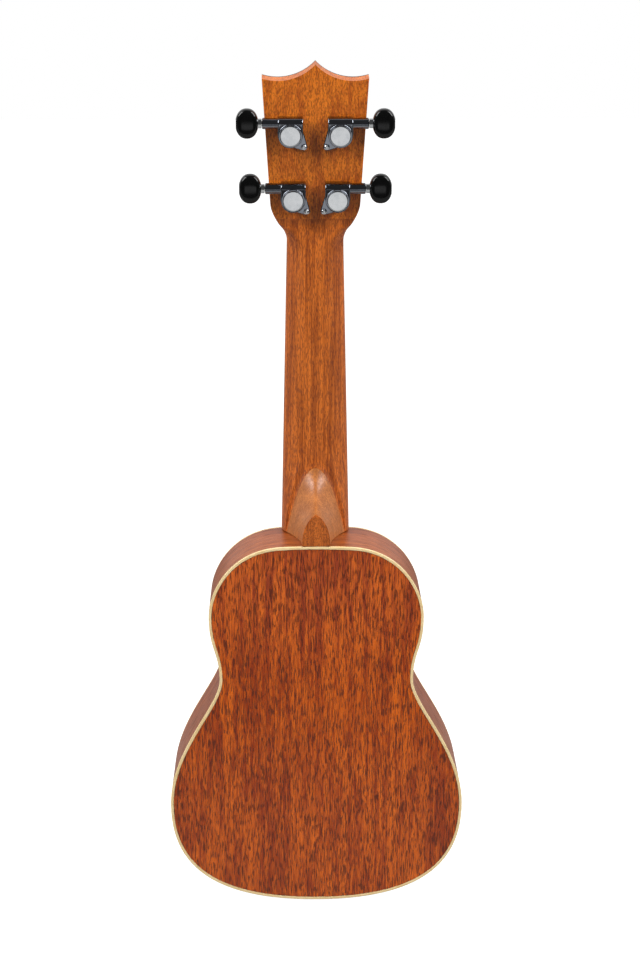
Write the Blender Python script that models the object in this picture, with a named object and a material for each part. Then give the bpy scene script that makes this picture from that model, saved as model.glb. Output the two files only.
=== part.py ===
"""A soprano ukulele with a violin-style two-bout body, sealed worm-gear tuners and bound edges.

The frame: +Z runs up the neck, -Y is the side the strings are on, +Y is the back, and X goes across.
The origin is on the neck's fretboard face, at the nut edge that the strings' sounding length starts from.
All sizes are in metres.
"""

import math

import bmesh
import bpy
from mathutils import Matrix, Vector

MM = 0.001

# Clearances
GLUE = 0.1 * MM  # a glued or seated joint
RUNNING = 0.3 * MM  # between pieces that turn and what they turn in

# Strings and scale
SCALE_LENGTH = 346 * MM
BODY_JOINT_FRET = 14
FRET_COUNT = 17
STRING_COUNT = 4
STRING_RADIUS = 0.35 * MM
SPREAD_AT_NUT = 28 * MM
SPREAD_AT_SADDLE = 41 * MM
HEIGHT_AT_NUT = 5.3 * MM
HEIGHT_AT_SADDLE = 9.3 * MM
SADDLE_SET_BACK = 2 * MM

# Body outline, as seen from the front: half-widths, and places measured down from the body's top
BODY_LENGTH = 229.4 * MM
TOP_FLAT = 44 * MM  # the straight stretch that the neck butts against
UPPER_BOUT = 134.4 * MM
UPPER_BOUT_AT = 45 * MM
WAIST = 121.2 * MM
WAIST_AT = 85 * MM
LOWER_BOUT = 184.2 * MM
LOWER_BOUT_AT = 166 * MM
TOP_PULL = 30 * MM
UPPER_PULL_UP = 18.6 * MM
UPPER_PULL_DOWN = 20 * MM
WAIST_PULL_UP = 17.3 * MM
WAIST_PULL_DOWN = 17.4 * MM
LOWER_PULL_UP = 36.3 * MM
LOWER_PULL_DOWN = 42 * MM
TAIL_PULL = 63.5 * MM
STRETCH_STEPS = 9

# Body depth and walls
DEPTH_AT_TOP = 52 * MM
DEPTH_AT_TAIL = 65 * MM
TOP_THICKNESS = 1.8 * MM
BACK_THICKNESS = 1.8 * MM
SIDE_THICKNESS = 2.1 * MM
BINDING_WIDTH = 1.8 * MM
BINDING_HEIGHT = 2.3 * MM
LINING_WIDTH = 5 * MM
LINING_HEIGHT = 10 * MM
LINING_FOOT = 3 * MM
SOUNDHOLE_RADIUS = 24.5 * MM
SOUNDHOLE_AT = 76 * MM
ROSETTE_WIDTH = 3.2 * MM
ROSETTE_MARGIN = 3.5 * MM
ROSETTE_THICKNESS = 0.8 * MM

# Blocks, braces and the bridge
NECK_BLOCK_WIDTH = 40 * MM
NECK_BLOCK_LENGTH = 18 * MM
TAIL_BLOCK_WIDTH = 50 * MM
TAIL_BLOCK_LENGTH = 10 * MM
DOWEL_RADIUS = 4 * MM
DOWEL_IN_NECK = 16 * MM
DOWEL_DEPTH = 7.5 * MM
BRACE_WIDTH = 6 * MM
BRACE_HEIGHT = 8 * MM
BRACE_END_HEIGHT = 3 * MM
BRACE_SCALLOP = 14 * MM
UPPER_BRACE_AT = 42 * MM
LOWER_BRACE_AT = 111 * MM
UPPER_BACK_BRACE_AT = 60 * MM
LOWER_BACK_BRACE_AT = 140 * MM
BRIDGE_LENGTH = 78 * MM
BRIDGE_WIDTH = 20 * MM
BRIDGE_HEIGHT = 6.5 * MM
BRIDGE_WING = 9 * MM
BRIDGE_WING_HEIGHT = 3 * MM
BRIDGE_AHEAD_OF_SADDLE = 6 * MM
BRIDGE_PLATE_MARGIN = 4 * MM
BRIDGE_PLATE_THICKNESS = 1.8 * MM
SADDLE_LENGTH = 55 * MM
SADDLE_THICKNESS = 2.3 * MM
SADDLE_SLOT_DEPTH = 3.5 * MM
KNOT_RADIUS = 1.1 * MM
KNOT_POCKET_RADIUS = 1.6 * MM
KNOT_POCKET_DEPTH = 4.5 * MM
STRING_SLOT_LENGTH = 8.5 * MM
STRING_SLOT_WIDTH = 1.5 * MM

# Neck, fretboard and nut
NUT_WIDTH = 35 * MM
NECK_WIDTH_AT_BODY = 43 * MM
NECK_DEPTH_AT_NUT = 13.5 * MM
NECK_DEPTH_AT_BODY = 14.5 * MM
FRETBOARD_THICKNESS = 3.6 * MM
FRETBOARD_TAIL = 3 * MM
FRET_HEIGHT = 0.9 * MM
FRET_WIDTH = 1.8 * MM
NUT_THICKNESS = 4.5 * MM
NUT_ABOVE_STRING = 0.6 * MM
NUT_SLOT_WIDTH = 1.4 * MM

# Heel: arches stacked from the neck's glue line to the cap
HEEL_RISE = 46 * MM
HEEL_SPREAD = 37.6 * MM
HEEL_CAP_RISE = 20 * MM
HEEL_CAP_WIDTH = 17.4 * MM
HEEL_CAP_THICKNESS = 2 * MM
HEEL_NARROWING = 1.8
HEEL_LEVELS = 8
ARCH_STEPS = 8

# Headstock, in its own tilted frame that starts behind the nut
HEAD_TILT = math.radians(8)
HEAD_THICKNESS = 11.6 * MM
VENEER_THICKNESS = 1.4 * MM
HEAD_EDGE_RADIUS = 0.9 * MM
SHOULDER_START = -9 * MM
SHOULDER_END = 16.2 * MM
SHOULDER_PULL_LOW = 8 * MM
SHOULDER_PULL_HIGH = 10.2 * MM
HEAD_WIDTH_LOW = 54.8 * MM
HEAD_WIDTH_TOP = 64 * MM
HEAD_CORNER_AT = 91 * MM
CROWN_PEAK_AT = 99.8 * MM
CROWN_SCOOP_RADIUS = 31.5 * MM
CROWN_SCOOP_SPREAD = 23 * MM
SCARF_ANGLE = math.radians(30)
SCARF_BACK_AT = 3.8 * MM
VOLUTE_START = -20 * MM
VOLUTE_END = 3.4 * MM
LOWER_POST_SPREAD = 27.2 * MM
LOWER_POST_AT = 17.4 * MM
UPPER_POST_SPREAD = 30.4 * MM
UPPER_POST_AT = 57.8 * MM

# Tuner: worm gearing in a sealed housing on the back of the head
GEAR_TEETH = 14
GEAR_CENTRE_DISTANCE = 7 * MM
WORM_PITCH_RADIUS = 1.6 * MM
WORM_ROOT_RADIUS = 1.15 * MM
WORM_OUTER_RADIUS = 1.95 * MM
WORM_LENGTH = 8.4 * MM
GEAR_FACE = 2.2 * MM
TOOTH_CLEARANCE = 0.15 * MM
THREAD_THICKNESS = 1 * MM
WORM_HEIGHT = 4.4 * MM
HOUSING_HEIGHT = 8.3 * MM
HOUSING_WIDTH = 15.4 * MM
HOUSING_FLOOR = 1.2 * MM
HOUSING_LIFT = 0.2 * MM  # the case stands this much clear of the wood, on its flange
CUP_RADIUS = 7.4 * MM
CUP_WALL = 1.3 * MM
COVER_RADIUS = 6.4 * MM
COVER_RISE = 0.6 * MM
COVER_SEAT = 0.5 * MM
BARREL_RADIUS = 3.6 * MM
SLEEVE_RADIUS = 3.3 * MM
SLEEVE_LENGTH = 9.5 * MM
SHAFT_RADIUS = 1.75 * MM
SHAFT_BORE_RADIUS = 2.1 * MM
COLLAR_RADIUS = 3 * MM
COLLAR_LENGTH = 2.1 * MM
BUTTON_LENGTH = 13.4 * MM
BUTTON_HEIGHT = 18 * MM
BUTTON_THICKNESS = 8.6 * MM
BUTTON_SOCKET = 10 * MM
FLANGE_THICKNESS = 1.1 * MM
FLANGE_REACH = 1.1 * MM
EAR_ACROSS = 8.2 * MM
EAR_DOWN = 8.5 * MM
EAR_RADIUS = 2.3 * MM
SCREW_RADIUS = 0.9 * MM
SCREW_HEAD_RADIUS = 1.8 * MM
SCREW_HEAD_HEIGHT = 1.1 * MM
SCREW_LENGTH = 8 * MM
SCREW_CLEARANCE = 0.2 * MM
POST_RADIUS = 3 * MM
POST_WAIST_RADIUS = 2.1 * MM
POST_CAP_RADIUS = 2.6 * MM
POST_STAND = 12 * MM  # how far the post stands out of the head's face
POST_HOLE_RADIUS = 0.7 * MM
BUSHING_WALL = 0.75 * MM
BUSHING_DEPTH = 6 * MM
BUSHING_FLANGE_RADIUS = 4.9 * MM
BUSHING_FLANGE_THICKNESS = 1 * MM
WRAP_TURNS = 2.5
WRAP_PITCH = 0.9 * MM

# Worked-out places
NUT_TO_BODY = SCALE_LENGTH * (1 - 2 ** (-BODY_JOINT_FRET / 12))
BODY_TOP = -NUT_TO_BODY
BODY_TAIL = BODY_TOP - BODY_LENGTH
SADDLE_Z = -SCALE_LENGTH - SADDLE_SET_BACK
HEAD_FRAME = Matrix.Translation((0, 0, NUT_THICKNESS)) @ Matrix.Rotation(-HEAD_TILT, 4, "X")
HEAD_OVERLENGTH = CROWN_PEAK_AT + 6 * MM
GEAR_RADIUS = GEAR_CENTRE_DISTANCE - WORM_PITCH_RADIUS
WORM_PITCH = 2 * math.pi * GEAR_RADIUS / GEAR_TEETH
SLEEVE_END = HOUSING_WIDTH / 2 + SLEEVE_LENGTH
COLLAR_START = SLEEVE_END + RUNNING
BUTTON_START = COLLAR_START + COLLAR_LENGTH + GLUE
FACE_Y = -HEAD_THICKNESS - GLUE - VENEER_THICKNESS  # the head's face, in a tuner's frame
WRAP_RADIUS = POST_WAIST_RADIUS + RUNNING + STRING_RADIUS

WOOD = "9A4F22"
CREAM = "F3D7A2"
CHROME = "C9CBCC"
ROSEWOOD = "3A2219"
BONE = "EFE8D6"
SPRUCE = "D9BC86"


def back_y(z):
    """The back's outer face, which slopes so that the body is deepest at the tail."""
    down = (BODY_TOP - z) / BODY_LENGTH
    return DEPTH_AT_TOP + (DEPTH_AT_TAIL - DEPTH_AT_TOP) * down


def bezier(a, b, c, d, steps):
    """Points along a cubic curve, without its first one."""
    points = []
    for i in range(1, steps + 1):
        t = i / steps
        near = a * (1 - t) ** 3 + b * 3 * t * (1 - t) ** 2
        points.append(near + c * 3 * t * t * (1 - t) + d * t**3)
    return points


def half_outline():
    """The body's right-hand edge from the top's centre to the tail, as (x, z)."""
    top = Vector((TOP_FLAT / 2, BODY_TOP))
    upper = Vector((UPPER_BOUT / 2, BODY_TOP - UPPER_BOUT_AT))
    waist = Vector((WAIST / 2, BODY_TOP - WAIST_AT))
    lower = Vector((LOWER_BOUT / 2, BODY_TOP - LOWER_BOUT_AT))
    tail = Vector((0, BODY_TAIL))
    up = Vector((0, 1))
    out = Vector((1, 0))
    points = [Vector((0, BODY_TOP)), top]
    points += bezier(top, top + out * TOP_PULL, upper + up * UPPER_PULL_UP, upper, STRETCH_STEPS)
    below_upper = upper - up * UPPER_PULL_DOWN
    points += bezier(upper, below_upper, waist + up * WAIST_PULL_UP, waist, STRETCH_STEPS)
    below_waist = waist - up * WAIST_PULL_DOWN
    points += bezier(waist, below_waist, lower + up * LOWER_PULL_UP, lower, STRETCH_STEPS)
    points += bezier(lower, lower - up * LOWER_PULL_DOWN, tail + out * TAIL_PULL, tail, STRETCH_STEPS)
    return points


def mirrored(half):
    """The whole closed outline from its right-hand half."""
    return half + [Vector((-p.x, p.y)) for p in reversed(half[1:-1])]


def inset(half, distance):
    """The half outline moved inwards by a distance, measured square to its edge."""
    moved = []
    for i, point in enumerate(half):
        before = half[i - 1] if i else Vector((-half[1].x, half[1].y))
        after = half[i + 1] if i + 1 < len(half) else Vector((-half[i - 1].x, half[i - 1].y))
        first = (point - before).normalized()
        second = (after - point).normalized()
        along = (first + second).normalized()
        square = Vector((along.y, -along.x))
        moved.append(point + square * distance / max(along.dot(first), 0.5))
    moved[0].x = 0
    moved[-1].x = 0
    return moved


def width_at(half, z):
    """The half-width of a half outline at one height."""
    for a, b in zip(half, half[1:]):
        if b.y <= z <= a.y and a.y > b.y:
            return a.x + (b.x - a.x) * (a.y - z) / (a.y - b.y)
    return 0.0


def clipped(half, least, most):
    """The stretch of a half outline whose x lies between two values, at its tail end or for its length."""
    kept = []
    for a, b in zip(half, half[1:]):
        cuts = []
        for edge in (least, most):
            if min(a.x, b.x) < edge < max(a.x, b.x):
                cuts.append((edge - a.x) / (b.x - a.x))
        for t in [0.0] + sorted(cuts) + [1.0]:
            point = a + (b - a) * t
            inside = least - 1e-9 <= point.x <= most + 1e-9
            if inside and (not kept or (kept[-1] - point).length > 1e-7):
                kept.append(point)
    return kept


def material(name, hex_colour, roughness, metallic=0.0):
    made = bpy.data.materials.new(name)
    made.use_nodes = True
    channels = [int(hex_colour[i : i + 2], 16) / 255 for i in (0, 2, 4)]
    linear = [c / 12.92 if c <= 0.04045 else ((c + 0.055) / 1.055) ** 2.4 for c in channels]
    shader = made.node_tree.nodes["Principled BSDF"]
    shader.inputs["Base Color"].default_value = (*linear, 1)
    shader.inputs["Roughness"].default_value = roughness
    shader.inputs["Metallic"].default_value = metallic
    return made


def piece(name, bm, look, frame=None, parent=None, smooth=True):
    """A named object from a bmesh, with its own material (colour, roughness, metallic)."""
    bmesh.ops.recalc_face_normals(bm, faces=bm.faces)
    mesh = bpy.data.meshes.new(name)
    bm.to_mesh(mesh)
    bm.free()
    if smooth:
        mesh.shade_smooth()
        mesh.set_sharp_from_angle(angle=math.radians(32))
    made = bpy.data.objects.new(name, mesh)
    bpy.context.collection.objects.link(made)
    mesh.materials.append(material(name, *look))
    made.parent = parent
    if frame is not None:
        made.matrix_local = frame
    return made


def helper(name, bm, frame=None, parent=None):
    """A shape that only cuts or joins another one."""
    made = piece(name, bm, ("808080", 0.5), frame, parent, smooth=False)
    made.hide_render = True
    made.display_type = "WIRE"
    return made


def combine(target, other, operation="DIFFERENCE"):
    modifier = target.modifiers.new(f"{operation.lower()} {other.name}", "BOOLEAN")
    modifier.operation = operation
    modifier.object = other
    modifier.solver = "EXACT"


def loft(rings, closed=False):
    """Skin closed rings of equal length; the ends are capped unless the last ring meets the first."""
    bm = bmesh.new()
    made = [[bm.verts.new(p) for p in ring] for ring in rings]
    pairs = list(zip(made, made[1:]))
    if closed:
        pairs.append((made[-1], made[0]))
    for low, high in pairs:
        for i in range(len(low)):
            j = (i + 1) % len(low)
            bm.faces.new((low[i], low[j], high[j], high[i]))
    if not closed:
        bm.faces.new(made[0])
        bm.faces.new(made[-1])
    return bm


def turned(profile, segments, axis="Y"):
    """A solid of revolution; its (radius, height) points start and end on the axis or close up."""
    turn = {
        "X": Matrix.Rotation(math.pi / 2, 4, "Y"),
        "Y": Matrix.Rotation(-math.pi / 2, 4, "X"),
        "Z": Matrix(),
    }
    bm = bmesh.new()
    rings = []
    for radius, height in profile:
        if radius < 1e-9:
            rings.append([bm.verts.new((0, 0, height))])
            continue
        angles = [2 * math.pi * i / segments for i in range(segments)]
        rings.append([bm.verts.new((radius * math.cos(a), radius * math.sin(a), height)) for a in angles])
    pairs = list(zip(rings, rings[1:]))
    if len(rings[0]) > 1:
        pairs.append((rings[-1], rings[0]))
    for low, high in pairs:
        for i in range(segments):
            j = (i + 1) % segments
            corners = [low[i % len(low)], low[j % len(low)], high[j % len(high)], high[i % len(high)]]
            bm.faces.new(list(dict.fromkeys(corners)))
    bmesh.ops.transform(bm, matrix=turn[axis], verts=bm.verts)
    return bm


def rod(radius, start, end, segments, axis="Y"):
    return turned([(0, start), (radius, start), (radius, end), (0, end)], segments, axis)


def box(low, high):
    bm = bmesh.new()
    bmesh.ops.create_cube(bm, size=1)
    low = Vector(low)
    high = Vector(high)
    for vert in bm.verts:
        vert.co = [low[i] if vert.co[i] < 0 else high[i] for i in range(3)]
    return bm


def mirror_bmesh(bm, side):
    """Turns a right-hand piece into a left-hand one."""
    if side < 0:
        bmesh.ops.scale(bm, vec=(-1, 1, 1), verts=bm.verts)
    return bm


def prism(outline, front, back):
    """A plate from an (x, z) outline, between two faces given as functions of z."""
    return loft([[(p.x, front(p.y), p.y) for p in outline], [(p.x, back(p.y), p.y) for p in outline]])


def rim(outer, inner, front, back, closed, inner_back=None):
    """A strip that follows an outline: front, back and inner_back are functions of z."""
    rings = []
    for a, b in zip(outer, inner):
        far = (inner_back or back)(b.y)
        outside = [(a.x, front(a.y), a.y), (a.x, back(a.y), a.y)]
        rings.append(outside + [(b.x, far, b.y), (b.x, front(b.y), b.y)])
    return loft(rings, closed)


def level(y):
    return lambda z: y


def off_back(distance):
    return lambda z: back_y(z) - distance


def split_at_centre(half, side):
    """A half outline on one side, stopped short of the centre line by half a glue joint."""
    points = [Vector((max(p.x, GLUE / 2) * side, p.y)) for p in half]
    return points


def make_plates(edge):
    """Soundboard and back, each inside its binding, with the rosette let into the soundboard."""
    inside = mirrored(inset(edge, BINDING_WIDTH + GLUE))
    top = piece("soundboard", prism(inside, level(0), level(TOP_THICKNESS)), ("A9683A", 0.4))
    place = Matrix.Translation((0, 0, BODY_TOP - SOUNDHOLE_AT))
    hole = helper("soundhole_cutter", rod(SOUNDHOLE_RADIUS, -5 * MM, 5 * MM, 40), place)
    combine(top, hole)
    near = SOUNDHOLE_RADIUS + ROSETTE_MARGIN
    far = near + ROSETTE_WIDTH
    deep = ROSETTE_THICKNESS + GLUE
    above = 2 * MM
    channel = [(near - GLUE, -above), (far + GLUE, -above), (far + GLUE, deep), (near - GLUE, deep)]
    ring = [(near, 0), (far, 0), (far, ROSETTE_THICKNESS), (near, ROSETTE_THICKNESS)]
    combine(top, helper("rosette_channel_cutter", turned(channel, 40), place))
    piece("rosette", turned(ring, 40), (CREAM, 0.35), place)
    piece("back", prism(inside, off_back(BACK_THICKNESS), back_y), (WOOD, 0.4))


def make_bindings(edge):
    outer = mirrored(edge)
    inner = mirrored(inset(edge, BINDING_WIDTH))
    piece("top_binding", rim(outer, inner, level(0), level(BINDING_HEIGHT), True), (CREAM, 0.35))
    piece("back_binding", rim(outer, inner, off_back(BINDING_HEIGHT), back_y, True), (CREAM, 0.35))


def make_sides(edge):
    """Two bent sides that meet at the neck and at the tail, and the linings glued inside their edges."""
    wall = inset(edge, SIDE_THICKNESS)
    front = level(BINDING_HEIGHT + GLUE)
    back = off_back(BINDING_HEIGHT + GLUE)
    clear = NECK_BLOCK_WIDTH / 2 + GLUE
    lining_outer = inset(edge, SIDE_THICKNESS + GLUE)
    lining_inner = inset(edge, SIDE_THICKNESS + GLUE + LINING_WIDTH)
    lower = max(range(len(edge)), key=lambda i: edge[i].x)
    tail_clear = TAIL_BLOCK_WIDTH / 2 + GLUE
    first = next(i for i, p in enumerate(lining_inner) if p.x > clear)
    last = max(i for i in range(lower, len(edge)) if lining_inner[i].x > tail_clear)
    top_front = level(TOP_THICKNESS + GLUE)
    top_back = level(TOP_THICKNESS + GLUE + LINING_HEIGHT)
    top_foot = level(TOP_THICKNESS + GLUE + LINING_FOOT)
    back_seat = off_back(BACK_THICKNESS + GLUE)
    back_deep = off_back(BACK_THICKNESS + GLUE + LINING_HEIGHT)
    back_foot = off_back(BACK_THICKNESS + GLUE + LINING_FOOT)
    for name, side in (("bass", -1), ("treble", 1)):
        outer_points = split_at_centre(edge, side)
        inner_points = split_at_centre(wall, side)
        piece(f"side_{name}", rim(outer_points, inner_points, front, back, False), (WOOD, 0.4))
        a = [Vector((p.x * side, p.y)) for p in lining_outer[first : last + 1]]
        b = [Vector((p.x * side, p.y)) for p in lining_inner[first : last + 1]]
        top_strip = rim(a, b, top_front, top_back, False, top_foot)
        piece(f"top_lining_{name}", top_strip, (SPRUCE, 0.7), smooth=False)
        back_strip = rim(a, b, back_seat, back_deep, False, back_foot)
        piece(f"back_lining_{name}", back_strip, (SPRUCE, 0.7), smooth=False)


def make_blocks(edge):
    """Neck block with its dowel, and the tail block that follows the curve of the sides."""
    high = BODY_TOP - SIDE_THICKNESS - GLUE
    half = NECK_BLOCK_WIDTH / 2
    outline = [
        Vector((-half, high)),
        Vector((half, high)),
        Vector((half, high - NECK_BLOCK_LENGTH)),
        Vector((-half, high - NECK_BLOCK_LENGTH)),
    ]
    block = piece(
        "neck_block",
        prism(outline, level(TOP_THICKNESS + GLUE), off_back(BACK_THICKNESS + GLUE)),
        (SPRUCE, 0.7),
        smooth=False,
    )
    place = Matrix.Translation((0, DOWEL_DEPTH, 0))
    start = BODY_TOP - SIDE_THICKNESS - NECK_BLOCK_LENGTH
    end = BODY_TOP + DOWEL_IN_NECK
    piece("neck_dowel", rod(DOWEL_RADIUS, start + GLUE, end - RUNNING, 16, "Z"), (SPRUCE, 0.6), place)
    bore = helper("dowel_bore_cutter", rod(DOWEL_RADIUS + GLUE, start - 5 * MM, end, 16, "Z"), place)
    combine(block, bore)
    for name in ("side_bass", "side_treble", "neck"):
        combine(bpy.data.objects[name], bore)
    stretch = clipped(inset(edge, SIDE_THICKNESS + GLUE)[-STRETCH_STEPS:], 0, TAIL_BLOCK_WIDTH / 2)
    outer = stretch + [Vector((-p.x, p.y)) for p in reversed(stretch[:-1])]
    inner = [Vector((p.x, stretch[0].y + TAIL_BLOCK_LENGTH)) for p in outer]
    piece(
        "tail_block",
        rim(outer, inner, level(TOP_THICKNESS + GLUE), off_back(BACK_THICKNESS + GLUE), False),
        (SPRUCE, 0.7),
        smooth=False,
    )


def make_brace(name, edge, down, seat, direction):
    """A bar across the body on one plate: its ends are scalloped down to clear the linings."""
    centre = BODY_TOP - down
    inner = inset(edge, SIDE_THICKNESS + 2 * GLUE + LINING_WIDTH)
    reach = min(width_at(inner, centre + BRACE_WIDTH / 2 * k) for k in (-1, 0, 1)) - RUNNING
    rings = []
    for z in (centre - BRACE_WIDTH / 2, centre + BRACE_WIDTH / 2):
        base = seat(z)
        outline = [
            (-reach, 0),
            (reach, 0),
            (reach, BRACE_END_HEIGHT),
            (reach - BRACE_SCALLOP, BRACE_HEIGHT),
            (BRACE_SCALLOP - reach, BRACE_HEIGHT),
            (-reach, BRACE_END_HEIGHT),
        ]
        rings.append([(x, base + direction * y, z) for x, y in outline])
    piece(name, loft(rings), (SPRUCE, 0.7), smooth=False)


def make_braces(edge):
    top_seat = level(TOP_THICKNESS + GLUE)
    back_seat = off_back(BACK_THICKNESS + GLUE)
    make_brace("top_brace_upper", edge, UPPER_BRACE_AT, top_seat, 1)
    make_brace("top_brace_lower", edge, LOWER_BRACE_AT, top_seat, 1)
    make_brace("back_brace_upper", edge, UPPER_BACK_BRACE_AT, back_seat, -1)
    make_brace("back_brace_lower", edge, LOWER_BACK_BRACE_AT, back_seat, -1)
    high = SADDLE_Z + BRIDGE_AHEAD_OF_SADDLE + BRIDGE_PLATE_MARGIN
    low = SADDLE_Z + BRIDGE_AHEAD_OF_SADDLE - BRIDGE_WIDTH - BRIDGE_PLATE_MARGIN
    front = TOP_THICKNESS + GLUE
    plate = box((-BRIDGE_LENGTH / 2, front, low), (BRIDGE_LENGTH / 2, front + BRIDGE_PLATE_THICKNESS, high))
    piece("bridge_plate", plate, (ROSEWOOD, 0.6), smooth=False)


def string_x(index, spread):
    return spread * (index / (STRING_COUNT - 1) - 0.5)


def make_bridge():
    """Bridge with a saddle slot, and a slot and knot pocket for each string."""
    half = BRIDGE_LENGTH / 2
    flat = half - BRIDGE_WING
    ahead = SADDLE_Z + BRIDGE_AHEAD_OF_SADDLE
    behind = ahead - BRIDGE_WIDTH
    section = [
        (-half, -GLUE),
        (half, -GLUE),
        (half, -BRIDGE_WING_HEIGHT),
        (flat, -BRIDGE_HEIGHT),
        (-flat, -BRIDGE_HEIGHT),
        (-half, -BRIDGE_WING_HEIGHT),
    ]
    bar = loft([[(x, y, z) for x, y in section] for z in (behind, ahead)])
    bridge = piece("bridge", bar, (ROSEWOOD, 0.5))
    low = (-SADDLE_LENGTH / 2 - GLUE, -BRIDGE_HEIGHT - 2 * MM, SADDLE_Z - SADDLE_THICKNESS / 2 - GLUE)
    seat = -BRIDGE_HEIGHT + SADDLE_SLOT_DEPTH
    high = (SADDLE_LENGTH / 2 + GLUE, seat, SADDLE_Z + SADDLE_THICKNESS / 2 + GLUE)
    combine(bridge, helper("saddle_slot_cutter", box(low, high)))
    crest = -HEIGHT_AT_SADDLE + STRING_RADIUS + RUNNING
    thick = SADDLE_THICKNESS / 2
    shape = [(-thick, seat - GLUE), (thick, seat - GLUE)]
    for i in range(7):
        a = math.pi * i / 6
        shape.append((thick * math.cos(a), crest + thick - thick * math.sin(a)))
    ends = (-SADDLE_LENGTH / 2, SADDLE_LENGTH / 2)
    piece("saddle", loft([[(x, y, SADDLE_Z + z) for z, y in shape] for x in ends]), (BONE, 0.35))
    knot_y = -KNOT_POCKET_RADIUS - 1 * MM
    for i in range(STRING_COUNT):
        x = string_x(i, SPREAD_AT_SADDLE)
        place = Matrix.Translation((x, knot_y, behind))
        pocket = rod(KNOT_POCKET_RADIUS, -2 * MM, KNOT_POCKET_DEPTH, 12, "Z")
        combine(bridge, helper(f"knot_pocket_cutter_{i}", pocket, place))
        width = STRING_SLOT_WIDTH / 2
        slot = box((-width, -BRIDGE_HEIGHT, -2 * MM), (width, 0, STRING_SLOT_LENGTH))
        combine(bridge, helper(f"string_slot_cutter_{i}", slot, place))


def neck_half_width(z):
    share = -z / NUT_TO_BODY
    return (NUT_WIDTH + (NECK_WIDTH_AT_BODY - NUT_WIDTH) * share) / 2


def shoulder_curve():
    """The flare from the neck to the head, as (half-width, distance along the head)."""
    low = Vector((neck_half_width(SHOULDER_START + NUT_THICKNESS), SHOULDER_START))
    high = Vector((HEAD_WIDTH_LOW / 2, SHOULDER_END))
    lean = Vector(((HEAD_WIDTH_TOP - HEAD_WIDTH_LOW) / 2, HEAD_CORNER_AT - SHOULDER_END)).normalized()
    pulled = high - lean * SHOULDER_PULL_HIGH
    return [low] + bezier(low, low + Vector((0, SHOULDER_PULL_LOW)), pulled, high, 10)


def head_half_width(along, shoulder):
    if along <= shoulder[0].y:
        return neck_half_width(along + NUT_THICKNESS)
    for a, b in zip(shoulder, shoulder[1:]):
        if a.y <= along <= b.y:
            return a.x + (b.x - a.x) * (along - a.y) / (b.y - a.y)
    grown = (along - SHOULDER_END) / (HEAD_CORNER_AT - SHOULDER_END)
    return (HEAD_WIDTH_LOW + (HEAD_WIDTH_TOP - HEAD_WIDTH_LOW) * grown) / 2


def section(half_width, depth, flat, drop):
    """A neck section seen from above: square front face, rounded sides, and a flat behind."""
    points = [Vector((half_width, 0))]
    steps = 7
    for i in range(steps + 1):
        a = math.pi / 2 * i / steps
        x = flat + (half_width - flat) * math.cos(a)
        points.append(Vector((x, depth - drop + drop * math.sin(a))))
    if drop >= depth - 1e-9:
        points[0].y = 0
        points[1] = Vector((half_width, 0.04 * depth))
    left = [Vector((-p.x, p.y)) for p in reversed(points) if p.x > 1e-7]
    middle = [] if points[-1].x < 1e-7 else [Vector((0, depth))]
    return points + middle + left


def blend(a, b, t):
    t = min(max(t, 0.0), 1.0)
    t = t * t * (3 - 2 * t)
    return a + (b - a) * t


def neck_depth(z):
    share = min(max((z - BODY_TOP - HEEL_RISE) / (-BODY_TOP - HEEL_RISE), 0.0), 1.0)
    return NECK_DEPTH_AT_BODY + (NECK_DEPTH_AT_NUT - NECK_DEPTH_AT_BODY) * share


def neck_blank():
    """The carved neck and head in one, before the scarf cut parts them."""
    shoulder = shoulder_curve()
    rings = []
    for i in range(HEEL_LEVELS, -1, -1):
        rise = HEEL_RISE * (1 - (i / HEEL_LEVELS) ** 2)
        z = BODY_TOP + max(rise, GLUE)
        flat = max(HEEL_SPREAD / 2 * i / HEEL_LEVELS, 0.2 * MM)
        width = neck_half_width(z)
        rings.append([(p.x, p.y, z) for p in section(width, neck_depth(z), flat, neck_depth(z))])
    levels = [VOLUTE_START]
    levels += [VOLUTE_START + (VOLUTE_END - VOLUTE_START) * i / 9 for i in range(1, 10)]
    levels += [p.y for p in shoulder if p.y > VOLUTE_END + 1 * MM]
    levels += [HEAD_OVERLENGTH]
    for along in levels:
        share = (along - VOLUTE_START) / (VOLUTE_END - VOLUTE_START)
        width = head_half_width(along, shoulder)
        z = along + NUT_THICKNESS
        depth = blend(neck_depth(z), HEAD_THICKNESS, share)
        flat = blend(0.2 * MM, width - HEAD_EDGE_RADIUS, share)
        drop = blend(depth, HEAD_EDGE_RADIUS, share)
        ring = [Vector((p.x, p.y, along)) for p in section(width, depth, flat, drop)]
        lean = min(max(1 + along / (5 * MM), 0.0), 1.0)
        tilt = Matrix.Translation((0, 0, NUT_THICKNESS)) @ Matrix.Rotation(-HEAD_TILT * lean, 4, "X")
        if along < 0:
            tilt = Matrix.Translation((0, 0, z)) @ Matrix.Rotation(-HEAD_TILT * lean, 4, "X")
            tilt = tilt @ Matrix.Translation((0, 0, -along))
        rings.append([tilt @ p for p in ring])
    return loft(rings)


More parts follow.
